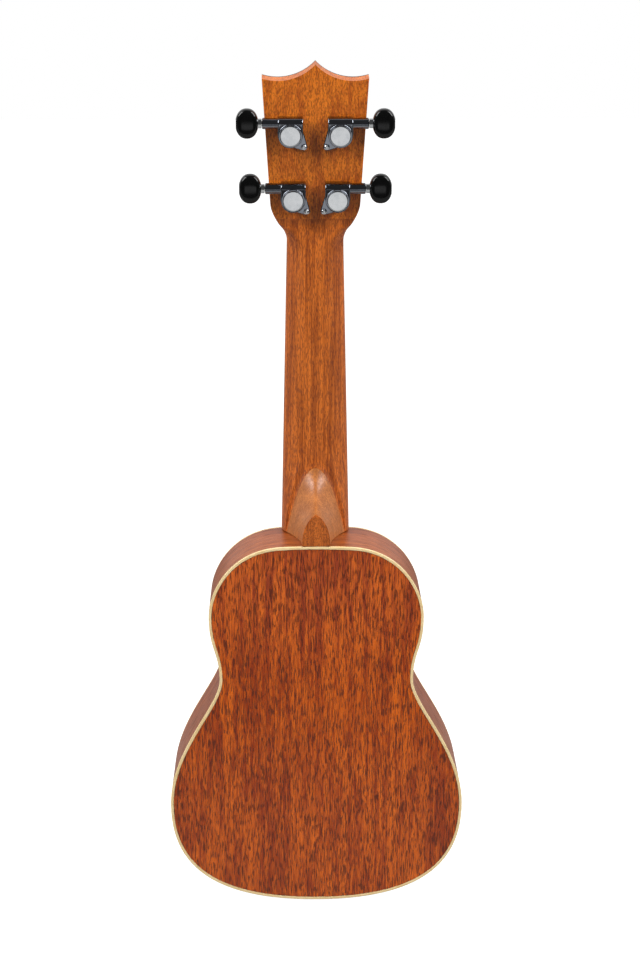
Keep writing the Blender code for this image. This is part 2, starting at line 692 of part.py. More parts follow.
def head_cutters():
    """What is cut away from both the head and its face veneer."""
    cutters = []
    scoop = rod(CROWN_SCOOP_RADIUS, -30 * MM, 30 * MM, 72)
    fall = math.sqrt(CROWN_SCOOP_RADIUS**2 - CROWN_SCOOP_SPREAD**2)
    for side in (-1, 1):
        place = HEAD_FRAME @ Matrix.Translation((side * CROWN_SCOOP_SPREAD, 0, CROWN_PEAK_AT + fall))
        cutters.append(helper(f"crown_cutter_{side}", scoop.copy(), place))
    scoop.free()
    seat = POST_RADIUS + RUNNING / 2 + BUSHING_WALL + GLUE
    depth = BUSHING_DEPTH + GLUE
    profile = [
        (0, 2 * MM),
        (POST_RADIUS + RUNNING, 2 * MM),
        (POST_RADIUS + RUNNING, FACE_Y + depth),
        (seat, FACE_Y + depth),
        (seat, FACE_Y - 3 * MM),
        (0, FACE_Y - 3 * MM),
    ]
    for name, side, frame in tuner_frames():
        cutters.append(helper(f"post_hole_cutter_{name}", turned(profile, 16), frame))
    return cutters


def tuner_frames():
    """Name, side and frame of each tuner: local +Y leaves the head's back, local +Z points to the crown."""
    frames = []
    rows = (("lower", LOWER_POST_SPREAD, LOWER_POST_AT), ("upper", UPPER_POST_SPREAD, UPPER_POST_AT))
    for row, spread, along in rows:
        for name, side in (("bass", -1), ("treble", 1)):
            place = Matrix.Translation((side * spread / 2, HEAD_THICKNESS, along))
            frames.append((f"{row}_{name}", side, HEAD_FRAME @ place))
    return frames


def make_neck():
    """Neck shaft and headstock, parted by a scarf joint, with the face veneer."""
    blank = neck_blank()
    neck = piece("neck", blank.copy(), (WOOD, 0.4))
    head = piece("headstock", blank, (WOOD, 0.4))
    back = HEAD_FRAME @ Vector((0, HEAD_THICKNESS, SCARF_BACK_AT))
    wide = 60 * MM
    long = 400 * MM
    above = box((-wide, -long, 0), (wide, long, long))
    below = box((-wide, -long, -long), (wide, long, GLUE))
    turn = Matrix.Rotation(math.pi / 2 - SCARF_ANGLE, 4, "X")
    place = Matrix.Translation(back) @ turn
    combine(neck, helper("scarf_cutter_head_side", above, place))
    combine(head, helper("scarf_cutter_neck_side", below, place))
    shoulder = shoulder_curve()
    edge = [Vector((head_half_width(GLUE, shoulder), GLUE))]
    edge += [p for p in shoulder if p.y > 1 * MM]
    edge.append(Vector((head_half_width(HEAD_OVERLENGTH, shoulder), HEAD_OVERLENGTH)))
    outline = edge + [Vector((-p.x, p.y)) for p in reversed(edge)]
    front = level(-GLUE - VENEER_THICKNESS)
    veneer = piece("head_veneer", prism(outline, front, level(-GLUE)), (ROSEWOOD, 0.35), HEAD_FRAME)
    for cutter in head_cutters():
        combine(head, cutter)
        combine(veneer, cutter)
    return head


def make_heel():
    """The heel under the neck, and its cap, flush with the back."""

    def arch(width, rise, power, swell):
        points = []
        for i in range(ARCH_STEPS + 1):
            share = math.sin(math.pi / 2 * i / ARCH_STEPS)
            x = width / 2 * max(1 - share**power, 0) ** swell
            points.append(Vector((x, max(rise * share, GLUE))))
        points[-1].x = 0
        return points + [Vector((-p.x, p.y)) for p in reversed(points[:-1])]

    start = NECK_DEPTH_AT_BODY + GLUE
    rings = []
    for i in range(HEEL_LEVELS + 1):
        t = 1 - math.cos(math.pi / 2 * i / HEEL_LEVELS)
        narrow = (1 - t) ** HEEL_NARROWING
        width = HEEL_CAP_WIDTH + (HEEL_SPREAD - HEEL_CAP_WIDTH) * narrow
        fall = math.sqrt(max(1 - (1 - t) ** 2, 0))
        rise = HEEL_CAP_RISE + (HEEL_RISE - HEEL_CAP_RISE) * (1 - fall)
        outline = arch(width, rise, 1 + 1.5 * t, 0.5 + 0.25 * t)
        ring = []
        for p in outline:
            z = BODY_TOP + p.y
            end = back_y(z) - HEEL_CAP_THICKNESS - GLUE
            ring.append((p.x, start + (end - start) * t, z))
        rings.append(ring)
    piece("heel", loft(rings), (WOOD, 0.4))
    outline = [Vector((p.x, BODY_TOP + p.y)) for p in arch(HEEL_CAP_WIDTH, HEEL_CAP_RISE, 2.5, 0.75)]
    piece("heel_cap", prism(outline, off_back(HEEL_CAP_THICKNESS), back_y), (WOOD, 0.4))


def fret_z(number):
    return -SCALE_LENGTH * (1 - 2 ** (-number / 12))


def make_fretboard():
    """Fretboard with its frets, and the nut with a slot for each string."""
    end = fret_z(FRET_COUNT) - FRETBOARD_TAIL
    face = -GLUE - FRETBOARD_THICKNESS
    side = [(-GLUE, -GLUE), (face, -GLUE)]
    for number in range(1, FRET_COUNT + 1):
        for i in range(5):
            a = math.pi * i / 4
            side.append((face - FRET_HEIGHT * math.sin(a), fret_z(number) + FRET_WIDTH / 2 * math.cos(a)))
    side += [(face, end), (-GLUE, end)]
    rings = [[(edge * neck_half_width(z), y, z) for y, z in side] for edge in (-1, 1)]
    piece("fretboard", loft(rings), (ROSEWOOD, 0.5), smooth=False)
    half = NUT_WIDTH / 2
    crest = -HEIGHT_AT_NUT - NUT_ABOVE_STRING
    floor = -HEIGHT_AT_NUT + STRING_RADIUS + RUNNING
    outline = [(-half, -GLUE), (-half, crest)]
    for i in range(STRING_COUNT):
        x = string_x(i, SPREAD_AT_NUT)
        wide = NUT_SLOT_WIDTH / 2
        outline += [(x - wide, crest), (x - wide, floor), (x + wide, floor), (x + wide, crest)]
    outline += [(half, crest), (half, -GLUE)]
    ends = (0, NUT_THICKNESS - GLUE)
    piece("nut", loft([[(x, y, z) for x, y in outline] for z in ends]), (BONE, 0.35), smooth=False)


def housing_helpers(name, side, parent):
    """Shapes that join and cut a tuner's housing: (object, operation) in the order that they apply."""
    axis = Matrix.Translation((0, WORM_HEIGHT, GEAR_CENTRE_DISTANCE))
    half = HOUSING_WIDTH / 2
    seat_at = HOUSING_HEIGHT - COVER_SEAT
    shapes = [
        ("barrel", barrel_shape(), None, "UNION"),
        ("sleeve", rod(SLEEVE_RADIUS, half - 1 * MM, SLEEVE_END, 14, "X"), axis, "UNION"),
        ("flange", flange_shape(), None, "UNION"),
        ("cavity", rod(CUP_RADIUS - CUP_WALL, HOUSING_FLOOR, 2 * HOUSING_HEIGHT, 24), None, "DIFFERENCE"),
        ("seat", rod(COVER_RADIUS + GLUE, seat_at, 2 * HOUSING_HEIGHT, 24), None, "DIFFERENCE"),
        ("bore", rod(SHAFT_BORE_RADIUS, 1 * MM - half, 2 * SLEEVE_END, 12, "X"), axis, "DIFFERENCE"),
        ("post_hole", rod(POST_RADIUS + RUNNING, -2 * MM, 2 * HOUSING_FLOOR, 14), None, "DIFFERENCE"),
        (
            "screw_hole",
            rod(SCREW_RADIUS + SCREW_CLEARANCE, -2 * MM, 5 * MM, 10),
            Matrix.Translation((-EAR_ACROSS, 0, -EAR_DOWN)),
            "DIFFERENCE",
        ),
    ]
    made = []
    for label, bm, place, operation in shapes:
        if place is not None:
            bmesh.ops.transform(bm, matrix=place, verts=bm.verts)
        made.append((helper(f"housing_{label}_{name}", mirror_bmesh(bm, side), None, parent), operation))
    return made


def barrel_shape():
    """The half-round worm case across the housing, from the cup's middle to the crown side."""
    far = GEAR_CENTRE_DISTANCE + BARREL_RADIUS
    low = GLUE + HOUSING_LIFT
    profile = [(low, 0), (low, far)]
    for i in range(9):
        a = math.pi / 2 * i / 8
        y = WORM_HEIGHT + BARREL_RADIUS * math.sin(a)
        profile.append((y, GEAR_CENTRE_DISTANCE + BARREL_RADIUS * math.cos(a)))
    profile.append((WORM_HEIGHT + BARREL_RADIUS, 0))
    half = HOUSING_WIDTH / 2
    return loft([[(x, y, z) for y, z in profile] for x in (-half, half)])


def flange_shape():
    """The thin foot of the housing, drawn out to an ear for the screw."""
    ear = Vector((-EAR_ACROSS, -EAR_DOWN))
    reach = ear.length
    outward = math.atan2(ear.y, ear.x)
    radius = CUP_RADIUS + FLANGE_REACH
    spread = math.acos((radius - EAR_RADIUS) / reach)
    outline = []
    for i in range(19):
        a = outward + spread + (2 * math.pi - 2 * spread) * i / 18
        outline.append(Vector((radius * math.cos(a), radius * math.sin(a))))
    for i in range(9):
        a = outward - spread + 2 * spread * i / 8
        outline.append(ear + Vector((EAR_RADIUS * math.cos(a), EAR_RADIUS * math.sin(a))))
    return prism(outline, level(GLUE), level(FLANGE_THICKNESS))


def gear_shape():
    """Worm wheel: teeth leaned to follow the worm's thread, with a gap at the top where the thread lies."""
    tooth = 2 * math.pi / GEAR_TEETH
    pitch_gap = THREAD_THICKNESS + 2 * TOOTH_CLEARANCE
    gap = pitch_gap / GEAR_RADIUS
    depth = WORM_OUTER_RADIUS - WORM_PITCH_RADIUS
    root = GEAR_RADIUS - depth - TOOTH_CLEARANCE
    tip = GEAR_CENTRE_DISTANCE - WORM_ROOT_RADIUS - TOOTH_CLEARANCE / 2
    taper = 0.25
    lean = WORM_PITCH / (2 * math.pi * WORM_PITCH_RADIUS) / GEAR_RADIUS
    rings = []
    for offset in (-GEAR_FACE / 2, GEAR_FACE / 2):
        ring = []
        for i in range(GEAR_TEETH):
            middle = tooth * i + offset * lean
            for radius, share in ((tip, -1 - taper), (root, -1 + taper), (root, 1 - taper), (tip, 1 + taper)):
                a = middle + gap / 2 * share
                ring.append((radius * math.sin(a), WORM_HEIGHT + offset, radius * math.cos(a)))
        rings.append(ring)
    return loft(rings)


def thread_shape():
    """The worm's single thread: a trapezoid swept along a helix, sunk into the shaft at both ends."""
    steps_per_turn = 10
    turns = WORM_LENGTH / WORM_PITCH
    steps = round(turns * steps_per_turn)
    start = -turns / 2
    crest = THREAD_THICKNESS * 0.65
    foot = THREAD_THICKNESS * 1.35
    sunk = WORM_ROOT_RADIUS * 0.7
    rings = []
    for i in range(steps + 1):
        turn = start + turns * i / steps
        fade = min(1.0, 3 * min(i, steps - i) / steps_per_turn)
        outer = sunk + (WORM_OUTER_RADIUS - sunk) * max(fade, 0.05)
        a = 2 * math.pi * turn - math.pi / 2
        x = WORM_PITCH * turn
        ring = []
        for radius, shift in ((sunk, -foot / 2), (outer, -crest / 2), (outer, crest / 2), (sunk, foot / 2)):
            ring.append((x + shift, radius * math.cos(a), radius * math.sin(a)))
        rings.append(ring)
    return loft(rings)


def button_shape():
    """An oval button, flattened at both ends, measured from its inner end."""
    rings = []
    for i in range(9):
        a = math.pi * (i / 8 - 0.5)
        x = BUTTON_LENGTH / 2 * (1 + math.sin(a))
        full = (1 - (abs(math.sin(a)) * 0.95) ** 2.3) ** 0.5
        tall = BUTTON_HEIGHT / 2 * full
        thick = BUTTON_THICKNESS / 2 * full**0.8
        ring = []
        for j in range(14):
            b = 2 * math.pi * j / 14
            ring.append((x, thick * math.cos(b), tall * math.sin(b)))
        rings.append(ring)
    return loft(rings)


def make_tuner(name, side, frame):
    """Seven pieces of one tuner; the shaft and button turn on the worm's axis, the post on its own."""
    parent = bpy.data.objects.new(f"frame_{name}", None)
    bpy.context.collection.objects.link(parent)
    parent.matrix_local = frame
    metal = (CHROME, 0.12, 1.0)
    cup = mirror_bmesh(rod(CUP_RADIUS, GLUE + 2 * HOUSING_LIFT, HOUSING_HEIGHT, 24), side)
    housing = piece(f"tuner_housing_{name}", cup, metal, None, parent)
    for other, operation in housing_helpers(name, side, parent):
        combine(housing, other, operation)
    low = HOUSING_HEIGHT - COVER_SEAT + GLUE
    high = HOUSING_HEIGHT + COVER_RISE
    bevel = 0.3 * MM
    rim_top = [(COVER_RADIUS, high - bevel), (COVER_RADIUS - bevel, high)]
    cover = [(0, low), (COVER_RADIUS, low), *rim_top, (0, high)]
    piece(f"tuner_cover_{name}", turned(cover, 24), metal, None, parent)

    axis = Matrix.Translation((0, WORM_HEIGHT, GEAR_CENTRE_DISTANCE))
    half = HOUSING_WIDTH / 2
    socket = SHAFT_RADIUS - GLUE
    shaft = [
        (0, 1 * MM - half + RUNNING),
        (SHAFT_RADIUS, 1 * MM - half + RUNNING),
        (SHAFT_RADIUS, -WORM_LENGTH / 2 - 1 * MM),
        (WORM_ROOT_RADIUS, -WORM_LENGTH / 2 - 0.6 * MM),
        (WORM_ROOT_RADIUS, WORM_LENGTH / 2 + 0.6 * MM),
        (SHAFT_RADIUS, WORM_LENGTH / 2 + 1 * MM),
        (SHAFT_RADIUS, COLLAR_START),
        (COLLAR_RADIUS, COLLAR_START),
        (COLLAR_RADIUS, COLLAR_START + COLLAR_LENGTH),
        (socket, COLLAR_START + COLLAR_LENGTH),
        (socket, BUTTON_START + BUTTON_SOCKET - GLUE),
        (0, BUTTON_START + BUTTON_SOCKET - GLUE),
    ]
    worm = piece(f"worm_shaft_{name}", mirror_bmesh(turned(shaft, 12, "X"), side), metal, axis, parent)
    thread = helper(f"thread_{name}", mirror_bmesh(thread_shape(), side), axis, parent)
    combine(worm, thread, "UNION")

    knob = button_shape()
    bmesh.ops.translate(knob, vec=(BUTTON_START, 0, 0), verts=knob.verts)
    button = piece(f"tuner_button_{name}", mirror_bmesh(knob, side), ("0B0B0C", 0.12), axis, parent)
    bore = rod(SHAFT_RADIUS, BUTTON_START - 2 * MM, BUTTON_START + BUTTON_SOCKET, 14, "X")
    combine(button, helper(f"button_socket_{name}", mirror_bmesh(bore, side), axis, parent))

    stem = HOUSING_HEIGHT - COVER_SEAT - 2 * RUNNING
    tip = FACE_Y - POST_STAND
    post_profile = [
        (0, stem),
        (1.6 * MM, stem),
        (1.6 * MM, WORM_HEIGHT + GEAR_FACE / 2 + RUNNING),
        (POST_RADIUS, WORM_HEIGHT + GEAR_FACE / 2 + RUNNING),
        (POST_RADIUS, FACE_Y - BUSHING_FLANGE_THICKNESS - 2 * RUNNING),
        (POST_WAIST_RADIUS, FACE_Y - 0.22 * POST_STAND),
        (POST_WAIST_RADIUS, FACE_Y - 0.72 * POST_STAND),
        (POST_CAP_RADIUS, tip + 0.18 * POST_STAND),
        (POST_CAP_RADIUS, tip + 0.05 * POST_STAND),
        (POST_CAP_RADIUS - 0.5 * MM, tip),
        (0, tip),
    ]
    post = piece(f"string_post_{name}", mirror_bmesh(turned(post_profile, 12), side), metal, None, parent)
    combine(post, helper(f"gear_{name}", mirror_bmesh(gear_shape(), side), None, parent), "UNION")
    cross = rod(POST_HOLE_RADIUS, -5 * MM, 5 * MM, 8, "X")
    hole_place = Matrix.Translation((0, FACE_Y - 0.66 * POST_STAND, 0))
    combine(post, helper(f"string_hole_cutter_{name}", cross, hole_place, parent))

    bore_radius = POST_RADIUS + RUNNING / 2
    outer = bore_radius + BUSHING_WALL
    bushing = [
        (bore_radius, FACE_Y + BUSHING_DEPTH),
        (outer, FACE_Y + BUSHING_DEPTH),
        (outer, FACE_Y - GLUE),
        (BUSHING_FLANGE_RADIUS, FACE_Y - GLUE),
        (BUSHING_FLANGE_RADIUS - bevel, FACE_Y - GLUE - BUSHING_FLANGE_THICKNESS),
        (bore_radius, FACE_Y - GLUE - BUSHING_FLANGE_THICKNESS),
    ]
    piece(f"post_bushing_{name}", turned(bushing, 14), metal, None, parent)

    seat = FLANGE_THICKNESS + GLUE
    screw = [
        (0, seat - SCREW_LENGTH),
        (SCREW_RADIUS, seat - SCREW_LENGTH + 1 * MM),
        (SCREW_RADIUS, seat),
        (SCREW_HEAD_RADIUS, seat),
        (SCREW_HEAD_RADIUS, seat + 0.5 * SCREW_HEAD_HEIGHT),
        (0.6 * SCREW_HEAD_RADIUS, seat + SCREW_HEAD_HEIGHT),
        (0, seat + SCREW_HEAD_HEIGHT),
    ]
    place = Matrix.Translation((-side * EAR_ACROSS, 0, -EAR_DOWN))
    piece(f"tuner_screw_{name}", turned(screw, 8), metal, place, parent)
    pilot = rod(SCREW_RADIUS + GLUE, seat - SCREW_LENGTH - 1 * MM, 2 * MM, 10)
    combine(bpy.data.objects["headstock"], helper(f"pilot_hole_cutter_{name}", pilot, place, parent))


def make_string(index, frame, side):
    """One string: knot in the bridge, over saddle and nut, then round its post."""
    behind = SADDLE_Z + BRIDGE_AHEAD_OF_SADDLE - BRIDGE_WIDTH
    at_bridge = string_x(index, SPREAD_AT_SADDLE)
    at_nut = string_x(index, SPREAD_AT_NUT)
    knot_y = -KNOT_POCKET_RADIUS - 1 * MM
    thick = KNOT_RADIUS / STRING_RADIUS
    swell = [(0.9 * MM, 0.9 * thick), (1.7 * MM, thick), (2.5 * MM, 0.9 * thick)]
    knot = [(0.6 * MM, 0.5), *swell, (2.9 * MM, 1)]
    points = [(Vector((at_bridge, knot_y, behind + z)), radius) for z, radius in knot]
    points.append((Vector((at_bridge, knot_y - 0.1 * MM, behind + 4 * MM)), 1))
    crest = -HEIGHT_AT_SADDLE
    slot_end = behind + STRING_SLOT_LENGTH
    points.append((Vector((at_bridge, -BRIDGE_HEIGHT - STRING_RADIUS - RUNNING, slot_end)), 1))
    points.append((Vector((at_bridge, crest, SADDLE_Z)), 1))
    points.append((Vector((at_nut, -HEIGHT_AT_NUT, 0)), 1))
    points.append((Vector((at_nut, -HEIGHT_AT_NUT, NUT_THICKNESS / 2)), 1))
    steps = 10
    top = FACE_Y - 0.36 * POST_STAND
    leave = frame @ Vector((-side * WRAP_RADIUS, top, 0))
    nut_end = Vector((at_nut, -HEIGHT_AT_NUT, NUT_THICKNESS))
    slope = (leave - nut_end).normalized()
    points.append((nut_end + slope * 0.5 * MM, 1))
    for i in range(int(WRAP_TURNS * steps) + 1):
        a = 2 * math.pi * i / steps
        climb = top - WRAP_PITCH * i / steps
        reach = Vector((-side * WRAP_RADIUS * math.cos(a), climb, WRAP_RADIUS * math.sin(a)))
        points.append((frame @ reach, 1))
    curve = bpy.data.curves.new(f"string_{index + 1}", "CURVE")
    curve.dimensions = "3D"
    curve.bevel_depth = STRING_RADIUS
    curve.bevel_resolution = 1
    curve.use_fill_caps = True
    spline = curve.splines.new("POLY")
    spline.points.add(len(points) - 1)
    for made, (place, radius) in zip(spline.points, points):
        made.co = (*place, 1)
        made.radius = radius
    curve.materials.append(material(f"string_{index + 1}", "E9E4D4", 0.25))
    made = bpy.data.objects.new(f"string_{index + 1}", curve)
    bpy.context.collection.objects.link(made)


def main():
    for old in list(bpy.data.objects):
        bpy.data.objects.remove(old)
    edge = half_outline()
    make_plates(edge)
    make_bindings(edge)
    make_sides(edge)
    make_neck()
    make_heel()
    make_blocks(edge)
    make_braces(edge)
    make_bridge()
    make_fretboard()
    frames = {name: (side, frame) for name, side, frame in tuner_frames()}
    for name, (side, frame) in frames.items():
        make_tuner(name, side, frame)
    for index, name in enumerate(("lower_bass", "upper_bass", "upper_treble", "lower_treble")):
        side, frame = frames[name]
        make_string(index, frame, side)


main()
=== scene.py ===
import math

import bpy
from mathutils import Matrix, Vector


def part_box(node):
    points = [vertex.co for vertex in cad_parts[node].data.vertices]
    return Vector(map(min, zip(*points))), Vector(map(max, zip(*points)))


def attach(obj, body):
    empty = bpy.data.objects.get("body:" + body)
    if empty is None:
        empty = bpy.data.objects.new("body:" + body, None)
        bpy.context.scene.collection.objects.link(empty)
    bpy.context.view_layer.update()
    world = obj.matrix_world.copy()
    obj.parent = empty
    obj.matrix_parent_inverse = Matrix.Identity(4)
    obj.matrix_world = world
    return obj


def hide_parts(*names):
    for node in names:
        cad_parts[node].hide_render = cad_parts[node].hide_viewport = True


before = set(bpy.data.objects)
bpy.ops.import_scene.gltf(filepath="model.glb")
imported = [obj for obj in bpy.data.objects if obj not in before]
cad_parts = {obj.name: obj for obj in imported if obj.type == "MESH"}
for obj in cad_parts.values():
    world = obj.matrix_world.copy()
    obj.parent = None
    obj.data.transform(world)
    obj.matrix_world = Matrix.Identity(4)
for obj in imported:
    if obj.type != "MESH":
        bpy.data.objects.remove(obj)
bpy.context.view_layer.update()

mm = 0.001
glueGap = 0.1 * mm
openJoint = 1e-6


# small helpers for picking, editing and applying


def pick(*things):
    bpy.ops.object.select_all(action="DESELECT")
    for thing in things:
        thing.select_set(True)
    bpy.context.view_layer.objects.active = things[0]


def edit(thing, select=True):
    pick(thing)
    bpy.ops.object.mode_set(mode="EDIT")
    bpy.ops.mesh.select_mode(type="VERT")
    bpy.ops.mesh.select_all(action="SELECT" if select else "DESELECT")


def leave():
    bpy.ops.object.mode_set(mode="OBJECT")


def editFaces(thing, test):
    # edit mode, with only the faces that pass the test selected
    edit(thing, select=False)
    bpy.ops.mesh.select_mode(type="FACE")
    leave()
    for face in thing.data.polygons:
        face.select = test(face)
    bpy.ops.object.mode_set(mode="EDIT")


def cleanUp(thing, fill=False):
    edit(thing)
    bpy.ops.mesh.remove_doubles(threshold=openJoint)
    bpy.ops.mesh.dissolve_degenerate(threshold=1e-7)
    bpy.ops.mesh.delete_loose()
    if fill:
        bpy.ops.mesh.select_all(action="DESELECT")
        bpy.ops.mesh.select_non_manifold(extend=False)
        bpy.ops.mesh.fill_holes(sides=0)
    bpy.ops.mesh.select_all(action="SELECT")
    bpy.ops.mesh.normals_make_consistent(inside=False)
    leave()


def sliceOff(thing, point, normal, test=None):
    # cuts away what lies on the normal's side of a plane, and closes the cut
    if test is None:
        edit(thing)
    else:
        editFaces(thing, test)
    bpy.ops.mesh.bisect(plane_co=point, plane_no=normal, use_fill=True, clear_outer=True)
    leave()
    cleanUp(thing)


def settle(thing, place):
    # the piece's place goes into its mesh
    thing.matrix_world = place @ thing.matrix_world
    pick(thing)
    bpy.ops.object.transform_apply(location=True, rotation=True, scale=True)


def applyModifier(thing, kind, **settings):
    pick(thing)
    modifier = thing.modifiers.new(kind.title(), kind)
    for key, value in settings.items():
        setattr(modifier, key, value)
    bpy.ops.object.modifier_apply(modifier=modifier.name)


def softenEdges(thing, width, segments=2, angle=35, clamp=True):
    limit = math.radians(angle)
    shape = {"width": width, "segments": segments, "use_clamp_overlap": clamp}
    applyModifier(thing, "BEVEL", limit_method="ANGLE", angle_limit=limit, **shape)


def cutWith(thing, *tools, operation="DIFFERENCE"):
    for tool in tools:
        applyModifier(thing, "BOOLEAN", operation=operation, object=tool, solver="EXACT")


def remove(*things):
    for thing in things:
        bpy.data.objects.remove(thing)


def copyOf(thing, name):
    pick(thing)
    bpy.ops.object.duplicate()
    made = bpy.context.object
    made.name = name
    return made


def mirrorAcross(thing):
    edit(thing)
    bpy.ops.transform.resize(value=(-1, 1, 1), center_override=(0, 0, 0))
    bpy.ops.mesh.normals_make_consistent(inside=False)
    leave()


def joined(first, *others):
    pick(first, *others)
    bpy.ops.object.join()
    return first


def finish(thing, material, body, slotName, *nodes, smooth=38):
    pick(thing)
    thing.data.materials.clear()
    thing.data.materials.append(material)
    if smooth:
        bpy.ops.object.shade_smooth_by_angle(angle=math.radians(smooth))
        applyModifier(thing, "WEIGHTED_NORMAL", keep_sharp=True)
    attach(thing, body)
    if nodes:
        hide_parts(*nodes)
    return thing


def gridOf(name, across, along, place):
    # a grid whose corners go where place(u, v) says, with u and v running from 0 to 1
    bpy.ops.mesh.primitive_grid_add(x_subdivisions=across, y_subdivisions=along, size=1)
    made = bpy.context.object
    made.name = name
    for corner in made.data.vertices:
        corner.co = place(corner.co.x + 0.5, corner.co.y + 0.5)
    return made


def skinned(name, rings):
    # a grid wrapped round closed rings of equal length, merged along its seam and closed at its ends
    around = len(rings[0])
    last = len(rings) - 1

    def place(u, v):
        return rings[round(v * last)][round(u * around) % around]

    made = gridOf(name, around, last, place)
    cleanUp(made, fill=True)
    return made


def turned(name, profile, segments=48, axis="Y"):
    # a circle pulled out to a closed (radius, height) profile and spun round an axis
    bpy.ops.mesh.primitive_circle_add(vertices=len(profile), radius=1, fill_type="NOTHING")
    made = bpy.context.object
    made.name = name
    for corner, (radius, height) in zip(made.data.vertices, profile):
        places = {"X": (height, 0, radius), "Y": (radius, height, 0), "Z": (radius, 0, height)}
        corner.co = places[axis]
    edit(made)
    spun = {"X": (1, 0, 0), "Y": (0, 1, 0), "Z": (0, 0, 1)}[axis]
    bpy.ops.mesh.spin(steps=segments, angle=2 * math.pi, center=(0, 0, 0), axis=spun)
    leave()
    cleanUp(made)
    return made


def rod(name, radius, start, end, segments=48, axis="Y"):
    return turned(name, [(0, start), (radius, start), (radius, end), (0, end)], segments, axis)


def block(name, low, high):
    bpy.ops.mesh.primitive_cube_add(size=1)
    made = bpy.context.object
    made.name = name
    for corner in made.data.vertices:
        corner.co = [low[i] if corner.co[i] < 0 else high[i] for i in range(3)]
    return made


def extruded(name, outline, shift):
    # a circle pulled out to an outline, filled and extruded
    bpy.ops.mesh.primitive_circle_add(vertices=len(outline), radius=1, fill_type="NGON")
    made = bpy.context.object
    made.name = name
    for corner, point in zip(made.data.vertices, outline):
        corner.co = point
    edit(made)
    bpy.ops.mesh.extrude_region_move(TRANSFORM_OT_translate={"value": shift})
    bpy.ops.mesh.select_all(action="SELECT")
    bpy.ops.mesh.normals_make_consistent(inside=False)
    leave()
    return made


def nodeCopy(node, name):
    # a merged copy of a CAD node, with its flat faces whole again
    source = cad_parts[node]
    made = bpy.data.objects.new(name, source.data.copy())
    bpy.context.scene.collection.objects.link(made)
    made.hide_render = made.hide_viewport = False
    edit(made)
    bpy.ops.mesh.customdata_custom_splitnormals_clear()
    bpy.ops.mesh.remove_doubles(threshold=openJoint)
    bpy.ops.mesh.dissolve_limited(angle_limit=math.radians(1))
    leave()
    return made


# materials


def linear(hexColour):
    channels = [int(hexColour[i : i + 2], 16) / 255 for i in (0, 2, 4)]
    return (*[c / 12.92 if c <= 0.04045 else ((c + 0.055) / 1.055) ** 2.4 for c in channels], 1)


def addNode(tree, kind, inputs=None, **settings):
    node = tree.nodes.new(kind)
    for key, value in settings.items():
        setattr(node, key, value)
    for key, value in (inputs or {}).items():
        if isinstance(value, bpy.types.NodeSocket):
            tree.links.new(value, node.inputs[key])
        else:
            node.inputs[key].default_value = value
    return node


def newMaterial(name, **shaderInputs):
    made = bpy.data.materials.new(name)
    made.use_nodes = True
    tree = made.node_tree
    shader = tree.nodes["Principled BSDF"]
    for key, value in shaderInputs.items():
        shader.inputs[key.replace("_", " ")].default_value = value
    return made, tree, shader


eased = {"interpolation_type": "SMOOTHSTEP"}


def span(value, low, high, toLow=0.0, toHigh=1.0):
    return {"Value": value, "From Min": low, "From Max": high, "To Min": toLow, "To Max": toHigh}


woodLooks = {
    # light and dark: the ribbon stripe's colours; pore: open grain filled with dark finish, its length in mm
    # cloudTone and poreTone: how strongly each darkens the wood; rough: the lacquer between the pores
    "body": {
        "light": "E66C12", "dark": "963404", "pore": "3A1003", "cloudTone": 0.35,
        "poreTone": 0.75, "rough": 0.24, "poreLength": 6.5, "shift": (0, 0, 0),
    },
    "ribs": {
        "light": "BC6220", "dark": "8A3C10", "pore": "4A1C0A", "cloudTone": 0.3,
        "poreTone": 0.5, "rough": 0.3, "poreLength": 12, "shift": (3, 1, 2),
    },
    "neck": {
        "light": "DE7628", "dark": "984610", "pore": "4C1A08", "cloudTone": 0.3,
        "poreTone": 0.5, "rough": 0.36, "poreLength": 3, "shift": (7, 2, 5),
    },
    "head": {
        "light": "F08420", "dark": "BC5A12", "pore": "5C2406", "cloudTone": 0.18,
        "poreTone": 0.5, "rough": 0.28, "poreLength": 2.2, "shift": (4, 8, 1),
    },
    "heel": {
        "light": "CE8040", "dark": "A66230", "pore": "6A300E", "cloudTone": 0.3,
        "poreTone": 0.35, "rough": 0.3, "poreLength": 1.8, "shift": (9, 4, 8),
    },
    "cap": {
        "light": "D47026", "dark": "A04C12", "pore": "4E1E08", "cloudTone": 0.3,
        "poreTone": 0.55, "rough": 0.3, "poreLength": 1.4, "shift": (2, 6, 4),
    },
}


